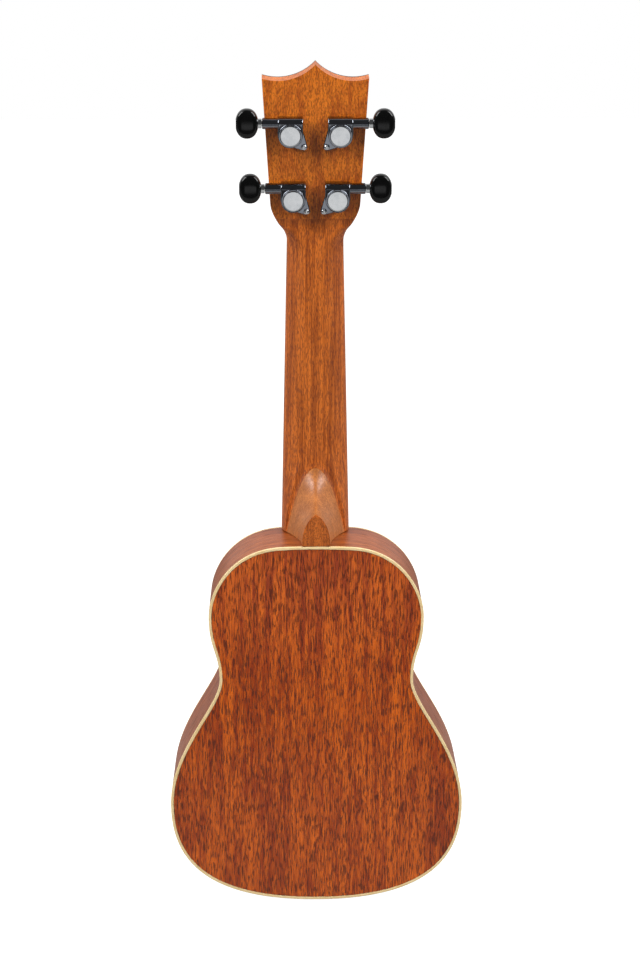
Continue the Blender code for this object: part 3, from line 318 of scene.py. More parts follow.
def mahogany(kind):
    # African mahogany, quarter-sawn under satin lacquer: ribbon stripes, dark open pores, a soft wide sheen
    look = woodLooks[kind]
    made, tree, shader = newMaterial(f"satin mahogany {kind}", IOR=1.5)
    if kind == "ribs":
        source = addNode(tree, "ShaderNodeUVMap", uv_map="grain").outputs["UV"]
    else:
        source = addNode(tree, "ShaderNodeTexCoord").outputs["Object"]

    def figure(width, length, low, high, detail=1.0, roughness=0.5, distortion=0.0):
        # one figure of the grain, width and length in millimetres, stretched between low and high
        across, down = 1000 / width, 1000 / length
        scale = (across, down, across) if kind == "ribs" else (across, across, down)
        inputs = {"Vector": source, "Location": look["shift"], "Scale": scale}
        place = addNode(tree, "ShaderNodeMapping", inputs)
        shape = {"Scale": 1.0, "Detail": detail, "Roughness": roughness, "Distortion": distortion}
        grain = addNode(tree, "ShaderNodeTexNoise", {"Vector": place.outputs["Vector"], **shape})
        spread = addNode(tree, "ShaderNodeMapRange", span(grain.outputs["Fac"], low, high), **eased)
        return spread.outputs["Result"]

    ribbon = figure(5.5, 200, 0.3, 0.7, detail=3.0, roughness=0.6)
    fibre = figure(0.9, 34, 0.3, 0.7, detail=2.0, roughness=0.6)
    # real pores are 0.2 mm wide: drawn 0.6 mm wide, so that they show
    pore = figure(0.6, look["poreLength"], 0.49, 0.6, detail=1.5, distortion=0.3)
    cloud = figure(40, 70, 0.3, 0.7)
    both = addNode(tree, "ShaderNodeMath", {0: ribbon, 1: fibre}, operation="ADD").outputs[0]
    stripe = addNode(tree, "ShaderNodeMapRange", span(both, 0.2, 1.8), **eased).outputs["Result"]
    cloudTone, poreTone = look["cloudTone"], look["poreTone"]
    shade = addNode(tree, "ShaderNodeMath", {0: cloud, 1: cloudTone}, operation="MULTIPLY").outputs[0]
    poreDepth = addNode(tree, "ShaderNodeMath", {0: pore, 1: poreTone}, operation="MULTIPLY").outputs[0]
    light, dark, filled = linear(look["light"]), linear(look["dark"]), linear(look["pore"])
    wood = addNode(tree, "ShaderNodeMix", {0: stripe, 6: dark, 7: light}, data_type="RGBA").outputs[2]
    wood = addNode(tree, "ShaderNodeMix", {0: shade, 6: wood, 7: dark}, data_type="RGBA").outputs[2]
    wood = addNode(tree, "ShaderNodeMix", {0: poreDepth, 6: wood, 7: filled}, data_type="RGBA").outputs[2]
    tree.links.new(wood, shader.inputs["Base Color"])
    gloss = addNode(tree, "ShaderNodeMapRange", span(pore, 0.0, 1.0, look["rough"], look["rough"] + 0.14))
    tree.links.new(gloss.outputs["Result"], shader.inputs["Roughness"])
    sunk = {"Height": pore, "Strength": 0.25, "Distance": 0.05 * mm}
    dip = addNode(tree, "ShaderNodeBump", sunk, invert=True)
    tree.links.new(dip.outputs["Normal"], shader.inputs["Normal"])
    return made


def plainMaterial(name, light, dark, size, roughness, bump=0.0, stretch=1.0, **more):
    # a two-tone mottle of one size in millimetres, stretched along Z where the stuff has a grain
    made, tree, shader = newMaterial(name, Roughness=roughness, **more)
    source = addNode(tree, "ShaderNodeTexCoord").outputs["Object"]
    scale = (1000 / size, 1000 / size, 1000 / size / stretch)
    vector = addNode(tree, "ShaderNodeMapping", {"Vector": source, "Scale": scale}).outputs["Vector"]
    shape = {"Vector": vector, "Scale": 1.0, "Detail": 3.0, "Roughness": 0.6}
    mottle = addNode(tree, "ShaderNodeTexNoise", shape).outputs["Fac"]
    tone = addNode(tree, "ShaderNodeMapRange", span(mottle, 0.3, 0.7), **eased).outputs["Result"]
    tones = {0: tone, 6: linear(light), 7: linear(dark)}
    colour = addNode(tree, "ShaderNodeMix", tones, data_type="RGBA")
    tree.links.new(colour.outputs[2], shader.inputs["Base Color"])
    spread = addNode(tree, "ShaderNodeMapRange", span(mottle, 0.2, 0.8, roughness * 0.85, roughness * 1.15))
    tree.links.new(spread.outputs["Result"], shader.inputs["Roughness"])
    if bump:
        lift = addNode(tree, "ShaderNodeBump", {"Height": mottle, "Strength": 0.3, "Distance": bump * mm})
        tree.links.new(lift.outputs["Normal"], shader.inputs["Normal"])
    return made


bodyWood = mahogany("body")
ribWood = mahogany("ribs")
neckWood = mahogany("neck")
headWood = mahogany("head")
heelWood = mahogany("heel")
capWood = mahogany("cap")
# scraped and lacquered ABS binding: cream, almost even, a low gloss
bindingPlastic = plainMaterial("cream ABS binding", "F6DCA8", "EFCF94", 7, 0.32, IOR=1.53)
# rosewood, oiled: chocolate with darker streaks along the grain
rosewood = plainMaterial("oiled rosewood", "4A2A1C", "25120C", 1.6, 0.5, bump=0.03, stretch=14, IOR=1.5)
# polished bone: warm white, faint mottle
bone = plainMaterial("polished bone", "F1EAD8", "E6DAC0", 3, 0.28, IOR=1.55)
# quarter-sawn spruce, unfinished inside the box
spruce = plainMaterial("raw spruce", "DEC492", "C4A068", 1.4, 0.65, bump=0.02, stretch=40, IOR=1.45)
# clear nylon string: translucent white, a slight gloss
nylon = plainMaterial("clear nylon", "F0EDE4", "E2DED2", 4, 0.22, IOR=1.53, Transmission_Weight=0.25)
# bright chrome on die-cast zinc: mirror-like, faint cloudiness from buffing
chrome = plainMaterial("bright chrome plate", "D6D8DA", "CACDD0", 5, 0.06, Metallic=1.0)
# plated die-cast case: a darker grey mirror than the lids, its darkness painted shade standing for the dark
# surroundings its rounded faces mirror; dark on its faces and bright on its edges
shadedChrome = plainMaterial("chrome with painted shade", "868A92", "7A7E86", 5, 0.07, Metallic=1.0)
# glossy black moulded ABS: nearly black, small soft lights on its shoulders
blackPlastic = plainMaterial("glossy black ABS", "0A0A0A", "060606", 3, 0.14, IOR=1.4)
# nickel silver fret wire, crowned and polished
fretMetal = plainMaterial("nickel silver wire", "D9D6CC", "C6C2B6", 2, 0.18, Metallic=1.0)
# mother-of-pearl dots: pale with soft coloured clouds
pearl = plainMaterial("pearl dots", "F2F2EC", "C9D4D2", 1.2, 0.2, IOR=1.53)
print("materials ready")


# body: outline, plates, bindings and ribs

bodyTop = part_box("back_binding")[1].z
bodySizes = {
    # half-widths and distances below the body's top in mm, with the pulls of the curve above and below each
    "flat": 22, "topPull": 30, "topArch": 0.6,
    "stations": [(67.2, 45, 18.6, 20), (60.6, 85, 17.3, 17.4), (92.1, 166, 36.3, 42)],
    "length": 229.4, "tailPull": 63.5,
    "depthTop": 52, "depthTail": 65, "plate": 1.8, "rib": 2.1,
    "bindingWidth": 1.8, "bindingHeight": 2.3, "bindingRound": 0.35,
    "holeRadius": 24.5, "holeAt": 76, "rosetteMargin": 3.5, "rosetteWidth": 3.2, "rosetteDepth": 0.8,
}


def backDepth(z):
    # the back leans: the body is deepest at the tail
    share = (bodyTop - z) / (bodySizes["length"] * mm)
    return (bodySizes["depthTop"] + (bodySizes["depthTail"] - bodySizes["depthTop"]) * share) * mm


def outlineCurve(name, half, resolution=26):
    # a Bezier curve along the body's edge, the whole of it or the treble half
    s = bodySizes
    arch, slope = s["topArch"], s["topArch"] / s["flat"] * 1.6
    flank = (s["flat"] - 8, arch - 8 * slope), (s["flat"] + s["topPull"], arch + s["topPull"] * slope)
    knots = [((s["flat"], arch), *flank)]
    for x, down, pullUp, pullDown in s["stations"]:
        knots.append(((x, down), (x, down - pullUp), (x, down + pullDown)))
    tail = ((0, s["length"]), (s["tailPull"], s["length"]), (-s["tailPull"], s["length"]))
    if half:
        near = glueGap / mm / 2
        knots.insert(0, ((near, 0), (near, 0), (near + 8, 0)))
        knots.append(((near, s["length"]), (s["tailPull"], s["length"]), (near, s["length"])))
    else:
        mirrored = [tuple((-x, down) for x, down in (knot[0], knot[2], knot[1])) for knot in reversed(knots)]
        knots = [((0, 0), (-8, 0), (8, 0))] + knots + [tail] + mirrored
    bpy.ops.curve.primitive_bezier_curve_add()
    made = bpy.context.object
    made.name = name
    spline = made.data.splines[0]
    spline.bezier_points.add(len(knots) - 2)
    for point, (middle, before, after) in zip(spline.bezier_points, knots):
        point.handle_left_type = point.handle_right_type = "FREE"
        point.co = (middle[0] * mm, 0, bodyTop - middle[1] * mm)
        point.handle_left = (before[0] * mm, 0, bodyTop - before[1] * mm)
        point.handle_right = (after[0] * mm, 0, bodyTop - after[1] * mm)
    spline.use_cyclic_u = not half
    made.data.resolution_u = resolution
    pick(made)
    bpy.ops.object.convert(target="MESH")
    edit(made)
    bpy.ops.mesh.remove_doubles(threshold=openJoint)
    leave()
    return made


def outlineFace(name):
    made = outlineCurve(name, half=False)
    edit(made)
    bpy.ops.mesh.edge_face_add()
    leave()
    return made


def leanBack(thing, flatPart, offset):
    # corners past flatPart in Y follow the leaning back, offset in front of it
    for corner in thing.data.vertices:
        if corner.co.y > flatPart:
            corner.co.y = backDepth(corner.co.z) - offset


def makeBinding(name, leaning):
    made = outlineFace(name)
    edit(made)
    bpy.ops.mesh.inset(thickness=bodySizes["bindingWidth"] * mm, use_even_offset=True)
    bpy.ops.mesh.delete(type="ONLY_FACE")
    bpy.ops.mesh.select_all(action="SELECT")
    bpy.ops.mesh.extrude_region_move(TRANSFORM_OT_translate={"value": (0, 10 * mm, 0)})
    leave()
    height = bodySizes["bindingHeight"] * mm
    for corner in made.data.vertices:
        far = corner.co.y > mm
        if leaning:
            corner.co.y = backDepth(corner.co.z) - (0 if far else height)
        else:
            corner.co.y = height if far else 0
    cleanUp(made)
    softenEdges(made, bodySizes["bindingRound"] * mm, 3, 60)
    finish(made, bindingPlastic, "body", "binding", name, smooth=50)


def makePlate(name, leaning):
    made = outlineFace(name)
    edit(made)
    bpy.ops.mesh.inset(thickness=bodySizes["bindingWidth"] * mm + glueGap, use_even_offset=True)
    bpy.ops.mesh.select_mode(type="FACE")
    bpy.ops.mesh.select_all(action="INVERT")
    bpy.ops.mesh.delete(type="FACE")
    bpy.ops.mesh.select_all(action="SELECT")
    bpy.ops.mesh.extrude_region_move(TRANSFORM_OT_translate={"value": (0, 10 * mm, 0)})
    leave()
    thick = bodySizes["plate"] * mm
    for corner in made.data.vertices:
        far = corner.co.y > mm
        if leaning:
            corner.co.y = backDepth(corner.co.z) - (0 if far else thick)
        else:
            corner.co.y = thick if far else 0
    cleanUp(made)
    return made


def makeBody():
    makeBinding("top_binding", leaning=False)
    makeBinding("back_binding", leaning=True)
    finish(makePlate("back_plate", leaning=True), bodyWood, "body", "mahogany_body", "back")

    s = bodySizes
    top = makePlate("soundboard_plate", leaning=False)
    place = Matrix.Translation((0, 0, bodyTop - s["holeAt"] * mm))
    near = s["holeRadius"] + s["rosetteMargin"]
    far = near + s["rosetteWidth"]
    hole = rod("hole", s["holeRadius"] * mm, -5 * mm, 5 * mm, 96)
    gap = glueGap / mm
    deep = s["rosetteDepth"]
    channel = [(near - gap, -2), (far + gap, -2), (far + gap, deep), (near - gap, deep)]
    groove = turned("groove", [(r * mm, y * mm) for r, y in channel], 96)
    ringProfile = [(near, 0), (far, 0), (far, deep - gap), (near, deep - gap)]
    ring = turned("rosette_ring", [(r * mm, y * mm) for r, y in ringProfile], 96)
    for tool in (hole, groove, ring):
        settle(tool, place)
    cutWith(top, hole, groove)
    remove(hole, groove)
    finish(top, bodyWood, "body", "mahogany_body", "soundboard")
    finish(ring, bindingPlastic, "body", "binding", "rosette")

    for side, name in ((1, "treble"), (-1, "bass")):
        rib = outlineCurve(f"rib_{name}", half=True)
        edit(rib)
        bpy.ops.mesh.extrude_region_move(TRANSFORM_OT_translate={"value": (0, 10 * mm, 0)})
        leave()
        ends = s["bindingHeight"] * mm + glueGap
        lengths = {}
        edge = sorted((v for v in rib.data.vertices if v.co.y < mm), key=lambda v: v.index)
        walked = 0.0
        for i, corner in enumerate(edge):
            walked += (corner.co - edge[i - 1].co).length if i else 0.0
            lengths[(round(corner.co.x, 6), round(corner.co.z, 6))] = walked
        grain = rib.data.uv_layers.new(name="grain")
        for loop in rib.data.loops:
            co = rib.data.vertices[loop.vertex_index].co
            grain.data[loop.index].uv = (co.y * 5, lengths[(round(co.x, 6), round(co.z, 6))])
        leanBack(rib, mm, ends)
        for corner in rib.data.vertices:
            if corner.co.y < mm:
                corner.co.y = ends
        edit(rib)
        bpy.ops.mesh.normals_make_consistent(inside=False)
        leave()
        outward = sum((f.normal.x * f.area for f in rib.data.polygons), 0.0)
        if outward < 0:
            edit(rib)
            bpy.ops.mesh.flip_normals()
            leave()
        applyModifier(rib, "SOLIDIFY", thickness=s["rib"] * mm, offset=-1, use_even_offset=True)
        if side < 0:
            mirrorAcross(rib)
        finish(rib, ribWood, "body", "mahogany_body", f"side_{name}")
    print("body ready")


makeBody()


# neck, head and heel

headTilt = math.radians(8)
nutThickness = 4.5 * mm
headFrame = Matrix.Translation((0, 0, nutThickness)) @ Matrix.Rotation(-headTilt, 4, "X")
neckSizes = {
    # all in mm; places along the head are measured from behind the nut
    "nutWidth": 35, "bodyWidth": 43, "nutDepth": 13.5, "bodyDepth": 14.5,
    "headThick": 11.6, "veneer": 1.4, "edgeRound": 0.9,
    "shoulderStart": -11.5, "shoulderEnd": 13.8, "pullLow": 8, "pullHigh": 10.2,
    "headLow": 55.6, "headHigh": 65, "cornerAt": 91, "peakAt": 99.8,
    "scoopRadius": 31.5, "scoopSpread": 23, "scarfAngle": 30, "scarfAt": 3.8,
    "voluteStart": -20, "voluteEnd": 3.4,
    "heelRise": 50, "flatFrom": 70, "glueLine": 1.3, "heelSpread": 37.6, "narrowing": 1.8,
    "capRise": 20, "capWidth": 17.4, "capThick": 2,
    "tunerHole": 3.6,
}


def neckHalf(z):
    share = z / bodyTop
    return (neckSizes["nutWidth"] + (neckSizes["bodyWidth"] - neckSizes["nutWidth"]) * share) / 2 * mm


def neckDepth(z):
    above = bodyTop + neckSizes["heelRise"] * mm
    share = min(max(z / above, 0), 1)
    return (neckSizes["nutDepth"] + (neckSizes["bodyDepth"] - neckSizes["nutDepth"]) * share) * mm


def bezierPoint(a, b, c, d, t):
    return a * (1 - t) ** 3 + b * 3 * t * (1 - t) ** 2 + c * 3 * t * t * (1 - t) + d * t**3


def shoulderPoints(steps=22):
    # the flare from neck to head, as (half-width, place along the head)
    s = neckSizes
    low = Vector((neckHalf(s["shoulderStart"] * mm + nutThickness), s["shoulderStart"] * mm))
    high = Vector((s["headLow"] / 2 * mm, s["shoulderEnd"] * mm))
    lean = Vector(((s["headHigh"] - s["headLow"]) / 2, s["cornerAt"] - s["shoulderEnd"])).normalized()
    first = low + Vector((0, s["pullLow"] * mm))
    second = high - lean * s["pullHigh"] * mm
    return [bezierPoint(low, first, second, high, i / steps) for i in range(steps + 1)]


def headHalf(along, shoulder):
    if along <= shoulder[0].y:
        return neckHalf(along + nutThickness)
    for a, b in zip(shoulder, shoulder[1:]):
        if a.y <= along <= b.y:
            return a.x + (b.x - a.x) * (along - a.y) / (b.y - a.y)
    s = neckSizes
    grown = (along / mm - s["shoulderEnd"]) / (s["cornerAt"] - s["shoulderEnd"])
    return (s["headLow"] + (s["headHigh"] - s["headLow"]) * grown) / 2 * mm


def ease(a, b, t):
    t = min(max(t, 0.0), 1.0)
    t = t * t * (3 - 2 * t)
    return a + (b - a) * t


def neckSection(half, depth, flat, drop, lean=0.0, steps=20):
    # square front, rounded sides, and a flat of its own width behind that the sides meet at an angle
    right = [Vector((half, 0))]
    start, end = Vector((half, depth - drop)), Vector((flat, depth))
    pull = 0.5523 * (half - flat) * (1 + lean)
    near = end + pull * Vector((math.cos(lean), -math.sin(lean)))
    for i in range(steps + 1):
        right.append(bezierPoint(start, start + Vector((0, 0.5523 * drop)), near, end, i / steps))
    left = [Vector((-p.x, p.y)) for p in reversed(right)]
    return right + left


def makeNeck():
    s = neckSizes
    shoulder = shoulderPoints()
    rings = []
    levels = 26
    sliver = 0.05 * mm
    for i in range(levels + 1):
        # the round back turns fuller and flatter all the way down to the body
        up = s["flatFrom"] * mm * i / levels
        z = bodyTop + max(up, glueGap)
        fullness = max(1 - (i / levels) ** 2, 0) ** 1.5
        flat = max(s["heelSpread"] / 2 * mm * fullness, sliver)
        depth = neckDepth(z)
        ring = neckSection(neckHalf(z), depth, flat, depth * 0.985, math.radians(45) * fullness)
        rings.append([(p.x, p.y, z) for p in ring])
    shaftSteps = 10
    top = bodyTop + s["flatFrom"] * mm
    end = s["voluteStart"] * mm + nutThickness
    for i in range(1, shaftSteps):
        z = top + (end - top) * i / shaftSteps
        depth = neckDepth(z)
        rings.append([(p.x, p.y, z) for p in neckSection(neckHalf(z), depth, sliver, depth * 0.985)])
    places = [s["voluteStart"] + (s["voluteEnd"] - s["voluteStart"]) * i / 24 for i in range(25)]
    places += [p.y / mm for p in shoulder if p.y / mm > s["voluteEnd"] + 0.4]
    places += [s["shoulderEnd"] + (s["peakAt"] + 6 - s["shoulderEnd"]) * i / 8 for i in range(1, 9)]
    for along in places:
        share = (along - s["voluteStart"]) / (s["voluteEnd"] - s["voluteStart"])
        half = headHalf(along * mm, shoulder)
        z = along * mm + nutThickness
        depth = ease(neckDepth(z), s["headThick"] * mm, share)
        flat = ease(sliver, half - s["edgeRound"] * mm, share)
        fall = ease(depth * 0.985, s["edgeRound"] * mm, share)
        lean = min(max(1 + along / 5, 0.0), 1.0)
        turn = Matrix.Rotation(-headTilt * lean, 4, "X")
        base, up = (z, 0) if along < 0 else (nutThickness, along * mm)
        place = Matrix.Translation((0, 0, base)) @ turn
        rings.append([place @ Vector((p.x, p.y, up)) for p in neckSection(half, depth, flat, fall)])
    blank = skinned("neck_shaft", rings)

    # the scarf joint slants down and forward from its line across the head's back
    line = headFrame @ Vector((0, s["headThick"] * mm, s["scarfAt"] * mm))
    slant = Matrix.Rotation(math.pi / 2 - math.radians(s["scarfAngle"]), 3, "X") @ Vector((0, 0, 1))
    head = copyOf(blank, "head_slab")
    sliceOff(blank, line, slant)
    sliceOff(head, line + slant * glueGap, -slant)

    veneer = makeVeneer(shoulder)
    tools = []
    fall = math.sqrt(s["scoopRadius"] ** 2 - s["scoopSpread"] ** 2)
    for side in (-1, 1):
        scoop = rod(f"scoop_{side}", s["scoopRadius"] * mm, -30 * mm, 30 * mm, 160)
        middle = (side * s["scoopSpread"] * mm, 0, (s["peakAt"] + fall) * mm)
        settle(scoop, headFrame @ Matrix.Translation(middle))
        tools.append(scoop)
    for key, side, place in tunerPlaces:
        hole = rod(f"hole_{key}", s["tunerHole"] * mm, -20 * mm, 5 * mm, 32)
        settle(hole, place)
        tools.append(hole)
    cutWith(head, *tools)
    cutWith(veneer, *tools)
    remove(*tools)
    heel = heelBlank()
    line = Vector((0, (s["bodyDepth"] + s["glueLine"]) * mm, 0))
    foot = copyOf(heel, "heel_foot")
    sliceOff(foot, line, Vector((0, 1, 0)))
    sliceOff(heel, line, Vector((0, -1, 0)))
    finish(joined(blank, foot), neckWood, "body", "mahogany_neck", "neck", smooth=30)
    finish(heel, heelWood, "body", "mahogany_neck", "heel", smooth=45)
    finish(head, headWood, "body", "mahogany_neck", "headstock", smooth=30)
    finish(veneer, rosewood, "body", "rosewood", "head_veneer", smooth=30)


def makeVeneer(shoulder):
    s = neckSizes
    front = -(s["veneer"] * mm + glueGap)
    edge = [Vector((headHalf(glueGap, shoulder), glueGap))] + [p for p in shoulder if p.y > mm]
    over = (s["peakAt"] + 6) * mm
    edge.append(Vector((headHalf(over, shoulder), over)))
    outline = [(p.x, front, p.y) for p in edge] + [(-p.x, front, p.y) for p in reversed(edge)]
    made = extruded("head_face", outline, (0, s["veneer"] * mm, 0))
    settle(made, headFrame)
    return made


tunerPlaces = []
for row, spread, along in (("lower", 27.2, 17.4), ("upper", 30.4, 57.8)):
    for name, side in (("bass", -1), ("treble", 1)):
        spot = Matrix.Translation((side * spread / 2 * mm, neckSizes["headThick"] * mm, along * mm))
        tunerPlaces.append((f"{row}_{name}", side, headFrame @ spot))


def heelArch(width, rise, power, swell, steps=28):
    right = []
    for i in range(steps + 1):
        share = math.sin(math.pi / 2 * i / steps)
        right.append(Vector((width / 2 * max(1 - share**power, 0) ** swell, max(rise * share, glueGap / mm))))
    right[-1].x = 0
    return [p * mm for p in right] + [Vector((-p.x, p.y)) * mm for p in reversed(right[:-1])]


def heelBlank():
    # the heel and the foot of it that the neck's own wood makes
    s = neckSizes
    start = s["bodyDepth"] * mm
    rings = [[(p.x, start - mm, bodyTop + p.y) for p in heelArch(s["heelSpread"], s["heelRise"], 1, 0.5)]]
    levels = 26
    for i in range(levels + 1):
        t = min(1 - math.cos(math.pi / 2 * i / levels), 1.0)
        width = s["capWidth"] + (s["heelSpread"] - s["capWidth"]) * (1 - t) ** s["narrowing"]
        fall = math.sqrt(max(1 - (1 - t) ** 2, 0))
        rise = s["capRise"] + (s["heelRise"] - s["capRise"]) * (1 - fall)
        ring = []
        for p in heelArch(width, rise, 1 + 1.5 * t, 0.5 + 0.25 * t):
            z = bodyTop + p.y
            end = backDepth(z) - s["capThick"] * mm - glueGap
            ring.append((p.x, start + (end - start) * t, z))
        rings.append(ring)
    return skinned("heel_block", rings)


def makeCap():
    s = neckSizes
    outline = [(p.x, 0, bodyTop + p.y) for p in heelArch(s["capWidth"], s["capRise"], 2.5, 0.75)]
    cap = extruded("heel_cap_plate", outline, (0, 10 * mm, 0))
    for corner in cap.data.vertices:
        corner.co.y = backDepth(corner.co.z) - (0 if corner.co.y > mm else s["capThick"] * mm)
    softenEdges(cap, 0.2 * mm, 2, 50)
    finish(cap, capWood, "body", "mahogany_neck", "heel_cap", smooth=40)


makeNeck()
makeCap()
print("neck, head and heel ready")


# fretboard, frets, dots, nut, saddle and bridge

scaleLength = 346 * mm
boardSizes = {
    "thick": 3.6, "frets": 17, "tail": 3, "fretHigh": 0.9, "fretWide": 1.8, "fretInset": 0.2,
    "dots": (5, 7, 10, 12, 15), "dotRadius": 2.4, "edgeRound": 0.3,
}


def fretPlace(number):
    return -scaleLength * (1 - 2 ** (-number / 12))


def makeBoard():
    s = boardSizes
    end = fretPlace(s["frets"]) - s["tail"] * mm
    face = -glueGap - s["thick"] * mm
    board = block("fretboard_blank", (-1, face, end), (1, -glueGap, -glueGap))
    for corner in board.data.vertices:
        corner.co.x = math.copysign(neckHalf(corner.co.z), corner.co.x)
    softenEdges(board, s["edgeRound"] * mm, 2, 60)
    finish(board, rosewood, "body", "rosewood", "fretboard", smooth=40)

    # one crowned wire, copied to each fret and trimmed to the board's width
    sink = 0.25 * mm
    ring = []
    for i in range(13):
        a = math.pi * i / 12
        ring.append((face - s["fretHigh"] * mm * math.sin(a), s["fretWide"] / 2 * mm * math.cos(a)))
    ring += [(face + sink, -s["fretWide"] / 2 * mm), (face + sink, s["fretWide"] / 2 * mm)]
    wire = skinned("fret_wire", [[(x, y, z) for y, z in ring] for x in (-0.5, 0.5)])
    softenEdges(wire, 0.25 * mm, 2, 60)
    for number in range(1, s["frets"] + 1):
        fret = copyOf(wire, f"fret_{number:02d}")
        place = fretPlace(number)
        half = neckHalf(place) - s["fretInset"] * mm
        for corner in fret.data.vertices:
            inner = 0.5 - abs(corner.co.x)
            corner.co.x = math.copysign(half - inner, corner.co.x)
            corner.co.z += place
        finish(fret, fretMetal, "body", "chrome", smooth=50)
    remove(wire)

    for number in s["dots"]:
        middle = (fretPlace(number) + fretPlace(number - 1)) / 2
        shifts = (-8 * mm, 8 * mm) if number == 12 else (0,)
        for i, shift in enumerate(shifts):
            r = s["dotRadius"] * mm
            dot = turned(f"dot_{number:02d}_{i}", [(0, 0.6 * mm), (r, 0.6 * mm), (r, 0), (0, -0.02 * mm)], 32)
            settle(dot, Matrix.Translation((shift, face - 0.01 * mm, middle)))
            finish(dot, pearl, "body", "bone")


def makeFittings():
    for node, name, width, material, slotName in (
        ("nut", "nut_block", 0.3, bone, "bone"),
        ("saddle", "saddle_strip", 0.15, bone, "bone"),
        ("bridge", "bridge_block", 0.4, rosewood, "rosewood"),
    ):
        made = nodeCopy(node, name)
        softenEdges(made, width * mm, 2, 40)
        finish(made, material, "body", slotName, node, smooth=35)


makeBoard()
makeFittings()
print("fretboard and fittings ready")


# tuners: each piece is modelled once for the treble side, then copied to the four places

tunerSizes = {
    # in mm, from the post's axis on the head's back: X outward, Y off the head, Z to the crown
    "wormHeight": 4.4, "wormAt": 7, "caseWidth": 15.4, "caseRound": 0.7,
    "cupRadius": 7.4, "cupHeight": 8.3, "cupRound": 0.4, "cavityRadius": 6.1,
    "coverRadius": 6.4, "coverRise": 0.6, "barrelRadius": 3.6, "sleeveRadius": 3.3, "sleeveEnd": 17.2,
    "collarLength": 2.1, "shaftRadius": 1.75, "boreRadius": 2.1,
    "buttonLong": 13.4, "buttonHigh": 18, "buttonThick": 8.6, "buttonSocket": 10,
    "flangeThick": 1.1, "flangeReach": 0.5, "earAcross": 8.2, "earDown": 8.5, "earRadius": 2.2,
    "screwHead": 1.8, "screwRadius": 0.9, "screwHole": 1.1, "postRadius": 3, "postHole": 3.3,
}


def caseParts():
    s = tunerSizes
    low = glueGap + 0.2 * mm
    profile = [(low, 0), (low, (s["wormAt"] + s["barrelRadius"]) * mm)]
    for i in range(17):
        a = math.pi / 2 * i / 16
        across = s["wormHeight"] + s["barrelRadius"] * math.sin(a)
        profile.append((across * mm, (s["wormAt"] + s["barrelRadius"] * math.cos(a)) * mm))
    profile.append(((s["wormHeight"] + s["barrelRadius"]) * mm, 0))
    half = s["caseWidth"] / 2 * mm
    profile[-1] = (profile[-1][0] - 0.45 * mm, 0)  # the back falls away a little from the barrel
    case = extruded("case", [(-half, y, z) for y, z in profile], (2 * half, 0, 0))
    softenEdges(case, s["caseRound"] * mm, 4, 50)
    rim = [(0, glueGap + 0.4 * mm), (s["cupRadius"] * mm, glueGap + 0.4 * mm)]
    for i in range(9):
        a = math.pi / 2 * i / 8
        inward, down = s["cupRound"] * (1 - math.cos(a)), s["cupRound"] * (1 - math.sin(a))
        rim.append(((s["cupRadius"] - inward) * mm, (s["cupHeight"] - down) * mm))
    cup = turned("cup", rim + [(0, s["cupHeight"] * mm)], 72)
    cutWith(case, cup, operation="UNION")
    toWorm = Matrix.Translation((0, s["wormHeight"] * mm, s["wormAt"] * mm))
    r = s["sleeveRadius"] * mm
    end = s["sleeveEnd"] * mm
    chamfer = 0.45 * mm
    inner = s["boreRadius"] * mm
    start = half - mm
    lip = r + 0.15 * mm
    ring = [(inner, start), (r, start), (r, end - 3 * mm), (lip, end - 2.6 * mm), (lip, end - chamfer)]
    ring += [(r - chamfer, end), (inner, end)]
    sleeve = turned("sleeve", ring, 48, "X")
    settle(sleeve, toWorm)
    flange = makeFlange()
    cavity = rod("cavity", s["cavityRadius"] * mm, 1.2 * mm, 20 * mm, 64)
    seat = rod("seat", s["coverRadius"] * mm + glueGap, (s["cupHeight"] - 0.5) * mm, 20 * mm, 64)
    bore = rod("bore", inner, mm - half, 40 * mm, 32, "X")
    settle(bore, toWorm)
    postHole = rod("post_hole", s["postHole"] * mm, -2 * mm, 2.4 * mm, 32)
    screwHole = rod("screw_hole", s["screwHole"] * mm, -2 * mm, 5 * mm, 24)
    settle(screwHole, Matrix.Translation((-s["earAcross"] * mm, 0, -s["earDown"] * mm)))
    cutWith(case, cavity, seat, bore, postHole)
    cutWith(flange, postHole, screwHole)
    remove(cup, cavity, seat, bore, postHole, screwHole)
    return joined(case, sleeve, flange)


def makeFlange():
    s = tunerSizes
    ear = Vector((-s["earAcross"], -s["earDown"]))
    outward = math.atan2(ear.y, ear.x)
    radius = s["cupRadius"] + s["flangeReach"]
    spread = math.acos((radius - s["earRadius"]) / ear.length)
    outline = []
    for i in range(41):
        a = outward + spread + (2 * math.pi - 2 * spread) * i / 40
        outline.append((radius * math.cos(a) * mm, glueGap, radius * math.sin(a) * mm))
    for i in range(17):
        a = outward - spread + 2 * spread * i / 16
        x = ear.x + s["earRadius"] * math.cos(a)
        outline.append((x * mm, glueGap, (ear.y + s["earRadius"] * math.sin(a)) * mm))
    made = extruded("flange", outline, (0, s["flangeThick"] * mm - glueGap, 0))
    softenEdges(made, 0.45 * mm, 4, 60, clamp=False)
    return made


